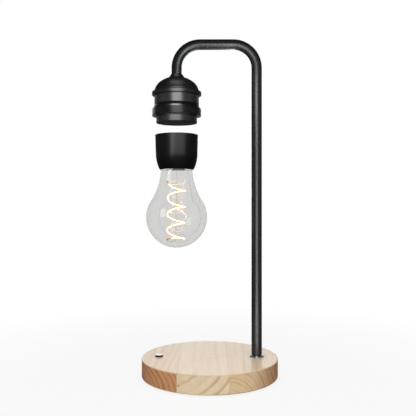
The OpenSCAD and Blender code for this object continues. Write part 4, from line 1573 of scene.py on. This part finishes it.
@dataclass
class Cap:
    """Black cup of the floating bulb with its lid, magnet and receiver."""

    bench: Bench
    taper: float = 2.0
    turn_h: float = 16.5 * MM
    turn_r: float = 40.0 * MM
    wall: float = 1.8 * MM
    mouth_r: float = 17.5 * MM
    lip: float = 0.7 * MM
    rim: float = 0.7 * MM
    lid_r: float = 22.5 * MM
    lid_gap: float = 0.1 * MM
    lid_t: float = 2.0 * MM
    lid_edge: float = 0.4 * MM
    well_r: float = 14.1 * MM
    well_wall: float = 1.2 * MM
    outer_steps: int = 24
    inner_steps: int = 16

    def build(self) -> list[Piece]:
        """Turns the cup and its lid and dresses what they hold.

        Returns:
            The black pieces.
        """
        bench = self.bench
        axis = bench.axis("bulb_cap")
        cup = turned("cap_cup", self.cup(), axis)
        bench.add(cup, CAP_BLACK, Body.BULB, "cap_black", "bulb_cap")
        lid = turned("cap_lid_plate", self.lid(), axis)
        bench.add(lid, CAP_BLACK, Body.BULB, "cap_black", "cap_lid")
        bench.paint(MAGNET_NICKEL, "float_magnet")
        bench.paint(Winding("receive_winding", axis[0]), "receive_coil")
        bench.paint(BOARD_BROWN, "receiver_board")
        bench.paint(CEMENT, "neck_cement")
        return [cup, lid]

    def cup(self) -> Outline:
        """Outline of the cup, open below for the glass and above for the lid.

        Returns:
            Radius and height of its points.
        """
        z0, z1 = self.bench.span("bulb_cap")
        top_r = self.bench.reach("bulb_cap")
        slope = math.tan(math.radians(self.taper))
        turn_z = z0 + self.turn_h
        side_r = top_r - (z1 - turn_z) * slope
        middle = (side_r - self.turn_r * math.cos(math.radians(self.taper)),
                  turn_z + self.turn_r * math.sin(math.radians(self.taper)))
        low = -math.degrees(math.asin((middle[1] - z0) / self.turn_r))
        outside = arc(middle, self.turn_r, low, -self.taper, self.outer_steps)
        inner_r = self.turn_r - self.wall
        low_in = -math.degrees(math.acos((self.mouth_r - middle[0]) / inner_r))
        inside = arc(middle, inner_r, -self.taper, low_in, self.inner_steps)
        seat_z = z1 - self.lid_t
        bore = self.lid_r + self.lid_gap
        ledge = top_r - (z1 - seat_z) * slope - self.wall
        return rounded([
            (self.mouth_r, z0, self.lip / 3),
            (*outside[0], self.lip),
            *outside[1:],
            (top_r, z1, self.rim),
            (bore, z1, self.rim / 4),
            (bore, seat_z),
            (ledge, seat_z),
            *inside,
        ])

    def lid(self) -> Outline:
        """Outline of the lid with the well around the magnet.

        Returns:
            Radius and height of its points.
        """
        z0, z1 = self.bench.span("cap_lid")
        under = z1 - self.lid_t
        return [(0.0, under)] + rounded([
            (self.well_r, under),
            (self.well_r, z0),
            (self.well_r + self.well_wall, z0),
            (self.well_r + self.well_wall, under),
            (self.lid_r, under),
            (self.lid_r, z1, self.lid_edge),
            (0.0, z1),
        ])


@dataclass
class Globe:
    """Blown glass globe and the glass foot inside it."""

    bench: Bench
    neck_r: float = 17.3 * MM
    shoulder_r: float = 70.0 * MM
    wall: float = 0.9 * MM
    flare_r: float = 16.35 * MM
    press_r: float = 3.2 * MM
    press_h: float = 3.4 * MM
    flare_wall: float = 0.8 * MM
    rod_r: float = 1.15 * MM
    rod_edge: float = 0.5 * MM
    rod_fillet: float = 0.6 * MM
    press_edge: float = 1.2 * MM
    lip_share: float = 0.05
    round_steps: int = 224
    ball_steps: int = 112
    shoulder_steps: int = 48
    flare_steps: int = 20
    foot_steps: int = 64

    def __post_init__(self) -> None:
        """Takes the axis, the radius and the middle from the frame."""
        self.axis = self.bench.axis("bulb_glass")
        self.radius = self.bench.reach("bulb_glass")
        self.middle = self.bench.span("bulb_glass")[0] + self.radius

    def build(self) -> list[Piece]:
        """Blows the globe and turns the foot.

        Returns:
            The glass pieces.
        """
        bench = self.bench
        globe = turned("globe", self.skin(0.0) + self.skin(self.wall)[::-1], self.axis, self.round_steps)
        bench.add(globe, GLOBE_GLASS, Body.BULB, "bulb_glass", "bulb_glass")
        stem = turned("glass_foot", self.foot(), self.axis, self.foot_steps)
        bench.add(stem, STEM_GLASS, Body.BULB, "stem_glass", "glass_stem")
        return [globe, stem]

    def skin(self, inset: float) -> Outline:
        """One surface of the glass, from its lowest point to the top of its neck.

        Args:
            inset: how far it lies inside the outer surface.

        Returns:
            Radius and height of its points.
        """
        ball, hollow = self.radius - inset, self.shoulder_r + inset
        pivot_r = self.neck_r + self.shoulder_r
        rise = math.sqrt((self.radius + self.shoulder_r) ** 2 - pivot_r ** 2)
        lean = math.degrees(math.atan2(rise, pivot_r))
        bottom = arc((0.0, self.middle), ball, -90.0, lean, self.ball_steps)
        bottom[0] = (0.0, bottom[0][1])
        shoulder = arc((pivot_r, self.middle + rise), hollow, 180.0 + lean, 180.0, self.shoulder_steps)
        top = self.bench.span("bulb_glass")[1] - inset * self.lip_share
        return bottom + shoulder[1:] + [(self.neck_r - inset, top)]

    def foot(self) -> Outline:
        """Outline of the flare, the press and the rod.

        Returns:
            Radius and height of its points.
        """
        z0, z1 = self.bench.span("glass_stem")
        curve = self.flare_r - self.press_r
        flare_z = z1 - curve
        press_z = flare_z - self.press_h
        wide = self.press_r + self.flare_wall
        under = arc((self.flare_r, flare_z), curve - self.flare_wall, 180.0, 90.0, self.flare_steps)
        over = arc((self.flare_r, flare_z), curve, 90.0, 180.0, self.flare_steps)
        return [(0.0, z0)] + rounded([
            (self.rod_r, z0, self.rod_edge),
            (self.rod_r, press_z, self.rod_fillet),
            (wide, press_z, self.press_edge),
            *under,
            *over,
            (0.0, flare_z),
        ])


@dataclass
class Filament:
    """Spiral filament with its glowing sleeve, its metal ends and the wires that carry it."""

    bench: Bench
    core_r: float = 0.48 * MM
    core_sides: int = 14
    sleeve_r: float = 1.2 * MM
    sleeve_sides: int = 18
    end_r: float = 0.75 * MM
    end_glow: Point = (12.0, 27.0)
    spiral_r: float = 9.8 * MM
    pitch: float = 17.8 * MM
    tail_pitch: float = 4.0 * MM
    turns: float = 3.0
    steps_per_turn: int = 72
    lean: float = 2.5 * MM
    tilt: float = 1.2
    rise: float = 29.5 * MM
    start: float = -176.0
    tail: float = 138.0
    tip_r: float = 0.75 * MM
    tip_l: float = 2.6 * MM
    tip_steps: int = 4
    wire_r: float = 0.35 * MM
    rod_wire_r: float = 0.24 * MM
    wire_sides: int = 12
    coat_r: float = 0.55 * MM
    coat_steps: int = 36
    coat_sides: int = 16
    upper_bends: tuple[Point, ...] = (
        (4.4 * MM, 0.0), (6.5 * MM, 1.8 * MM), (8.3 * MM, 4.2 * MM), (9.7 * MM, 7.4 * MM))
    upper_ahead: float = 1.2 * MM
    upper_above: float = 1.6 * MM
    rod_shares: Point = (0.35, 0.7)
    hook_shares: Point = (0.3, 0.1)
    hook_ahead: float = 1.5 * MM
    hook_offsets: tuple[Triple, ...] = (
        (0.2 * MM, 0.0, 1.6 * MM), (0.0, 0.0, -0.9 * MM), (0.0, 0.0, -1.4 * MM), (0.0, 0.0, -0.2 * MM))
    neck_r: float = 17.3 * MM
    # Pale beads at the cap's mouth: a painted highlight for the glass's bright refraction there.
    bead_r: float = 0.5 * MM
    bead_out: float = 0.7
    bead_drop: float = 0.8
    bead_wave: float = 0.14 * MM
    glint_ripples: tuple[Point, Point] = ((7.0, 1.0), (11.0, 0.6))
    glint_arcs: tuple[Point, Point] = ((-86.0, -20.0), (34.0, 86.0))
    bead_steps: int = 40
    disc_r: float = 6.4 * MM
    disc_off: float = 3.0 * MM
    disc_h: float = 1.5 * MM
    disc_lift: float = 0.2 * MM
    disc_edge: float = 0.3 * MM
    disc_steps: int = 64

    def __post_init__(self) -> None:
        """Takes the axis and the heights from the frame."""
        bench = self.bench
        self.x = bench.axis("bulb_glass")[0]
        self.top = bench.span("bulb_glass")[0] + bench.reach("bulb_glass") + self.rise
        self.rod_z = bench.span("glass_stem")[0]
        self.pale: list[Piece] = []

    def build(self) -> list[Piece]:
        """Sweeps the filament and everything that holds it.

        Returns:
            The white pieces.
        """
        bench = self.bench
        end = FULL_TURN * self.turns + self.tail
        line = self.stretch(self.start, end)
        lit = self.stretch(self.start + self.end_glow[0], end - self.end_glow[1])
        core = swept("filament_core", lit, self.core_r, self.core_sides)
        bench.add(core, FILAMENT_CORE, Body.BULB, "filament_glow", "filament")
        sleeve = swept("filament_sleeve", lit, self.sleeve_r, self.sleeve_sides)
        bench.add(sleeve, FILAMENT_SLEEVE, Body.BULB, "filament_glow")
        out_first = (line[0] - line[1]).normalized()
        out_last = (line[-1] - line[-2]).normalized()
        self.tips(line[0], out_first, line[-1], out_last)
        self.leads(line[0] + out_first * self.tip_l, out_first, line[-1] + out_last * self.tip_l, out_last)
        self.neck()
        return self.pale

    def at(self, angle: float) -> Vector:
        """Point of the filament's middle line.

        Args:
            angle: degrees along the spiral.

        Returns:
            The point.
        """
        whole = FULL_TURN * self.turns
        a = math.radians(angle)
        drop = (self.pitch * min(angle, whole) + self.tail_pitch * max(angle - whole, 0.0)) / FULL_TURN
        x, y = self.spiral_r * math.cos(a), -self.spiral_r * math.sin(a)
        z = self.top + self.lean * math.sin(a) - drop - self.rod_z
        t = math.radians(self.tilt)
        return Vector((
            self.x + x * math.cos(t) + z * math.sin(t), y, self.rod_z + z * math.cos(t) - x * math.sin(t)))

    def stretch(self, start: float, end: float) -> list[Vector]:
        """Points of the filament from one angle to another."""
        steps = max(2, round((end - start) / FULL_TURN * self.steps_per_turn))
        return [self.at(start + (end - start) * i / steps) for i in range(steps + 1)]

    def tips(self, first: Vector, out_first: Vector, last: Vector, out_last: Vector) -> None:
        """The filament's metal ends, and the dimmer glow beside them.

        Args:
            first: upper end of the filament.
            out_first: direction out of that end.
            last: lower end of the filament.
            out_last: direction out of that end.
        """
        for name, at, out, nodes in (
            ("filament_tip_top", first, out_first, ["filament_tips"]),
            ("filament_tip_end", last, out_last, []),
        ):
            line = [at + out * self.tip_l * i / self.tip_steps for i in range(self.tip_steps + 1)]
            self.bench.add(swept(name, line, self.tip_r), LEAD_STEEL, Body.BULB, "lead_steel", *nodes)
        whole = FULL_TURN * self.turns + self.tail
        for name, a, b in (
            ("filament_glow_top", self.start, self.start + self.end_glow[0]),
            ("filament_glow_end", whole - self.end_glow[1], whole),
        ):
            glow = swept(name, self.stretch(a, b), self.end_r)
            self.bench.add(glow, FILAMENT_END, Body.BULB, "filament_glow")

    def leads(self, first: Vector, out_first: Vector, last: Vector, out_last: Vector) -> None:
        """The wires from the glass foot to the filament's ends.

        Args:
            first: end of the upper metal tip.
            out_first: direction out of that tip.
            last: end of the lower metal tip.
            out_last: direction out of that tip.
        """
        bench = self.bench
        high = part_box("upper_lead")[1]
        bends = [
            Vector((self.x - aside, first.y * drop / (high.z - first.z), high.z - drop))
            for aside, drop in self.upper_bends]
        before = first + out_first * self.upper_ahead + Vector((0.0, 0.0, self.upper_above))
        upper = curve_through([*bends, before, first])
        wire = swept("upper_wire", upper, self.wire_r, self.wire_sides)
        bench.add(wire, LEAD_STEEL, Body.BULB, "lead_steel", "upper_lead")
        coat = swept("upper_wire_coat", upper[1:self.coat_steps], self.coat_r, self.coat_sides)
        bench.add(coat, LEAD_WHITE, Body.BULB, "lead_steel")
        self.pale.append(coat)
        low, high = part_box("lower_lead")
        rod_end = Vector((self.x, 0.0, high.z))
        knee = Vector((self.at(FULL_TURN * self.turns).x - self.spiral_r, 0.0, low.z + self.wire_r))
        inner, under, near, close = (Vector(offset) for offset in self.hook_offsets)
        lower = curve_through([
            rod_end,
            *(rod_end.lerp(knee, share) for share in self.rod_shares),
            knee + inner,
            knee.lerp(last, self.hook_shares[0]) + under,
            last.lerp(knee, self.hook_shares[1]) + near,
            last + out_last * self.hook_ahead + close,
            last,
        ])
        hook = swept("lower_wire", lower, self.rod_wire_r, self.wire_sides)
        bench.add(hook, LEAD_BRONZE, Body.BULB, "lead_bronze", "lower_lead")

    def neck(self) -> None:
        """Pale beads at the cap's mouth, a painted highlight for the glass's bright refraction there, and
        the brown disc below the press.
        """
        bench = self.bench
        mouth = bench.span("bulb_cap")[0]
        out = self.neck_r + self.bead_r * self.bead_out
        # Only two front arcs, which paint the glass's bright refraction at the mouth.
        for name, (start, end) in zip(("neck_glint_left", "neck_glint_right"), self.glint_arcs):
            line: list[Vector] = []
            for step in range(self.bead_steps + 1):
                turn = math.radians(start + (end - start) * step / self.bead_steps)
                wave = sum(size * math.sin(times * turn) for times, size in self.glint_ripples)
                height = mouth - self.bead_r * self.bead_drop + self.bead_wave * wave
                line.append(Vector((self.x + out * math.sin(turn), -out * math.cos(turn), height)))
            bead = swept(name, line, self.bead_r, self.wire_sides)
            bench.add(bead, LEAD_WHITE, Body.BULB, "cement_cream")
            self.pale.append(bead)
        z0 = mouth + self.disc_lift
        outline = [(0.0, z0)] + rounded([
            (self.disc_r, z0, self.disc_edge),
            (self.disc_r, z0 + self.disc_h, self.disc_edge),
            (0.0, z0 + self.disc_h),
        ])
        disc = turned("press_disc", outline, (self.x + self.disc_off, 0.0), self.disc_steps)
        bench.add(disc, PRESS_BROWN, Body.BULB, "cement_cream")


def main() -> None:
    """Builds the lamp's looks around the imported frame."""
    logging.basicConfig(level=logging.INFO, format="%(name)s: %(message)s")
    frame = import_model()
    studio = Studio()
    studio.build()
    bench = Bench(frame)
    Base(bench).build()
    chrome = [Stand(bench).build(), Button(bench).build()]
    head = Head(bench).build()
    cap = Cap(bench).build()
    glass = Globe(bench).build()
    pale = Filament(bench).build()
    nodes = frame["nodes"]
    studio.lamps(head, cap, glass, pale, chrome, nodes["arm_tube"], nodes["base_disc"])


if __name__ == "__main__":
    main()
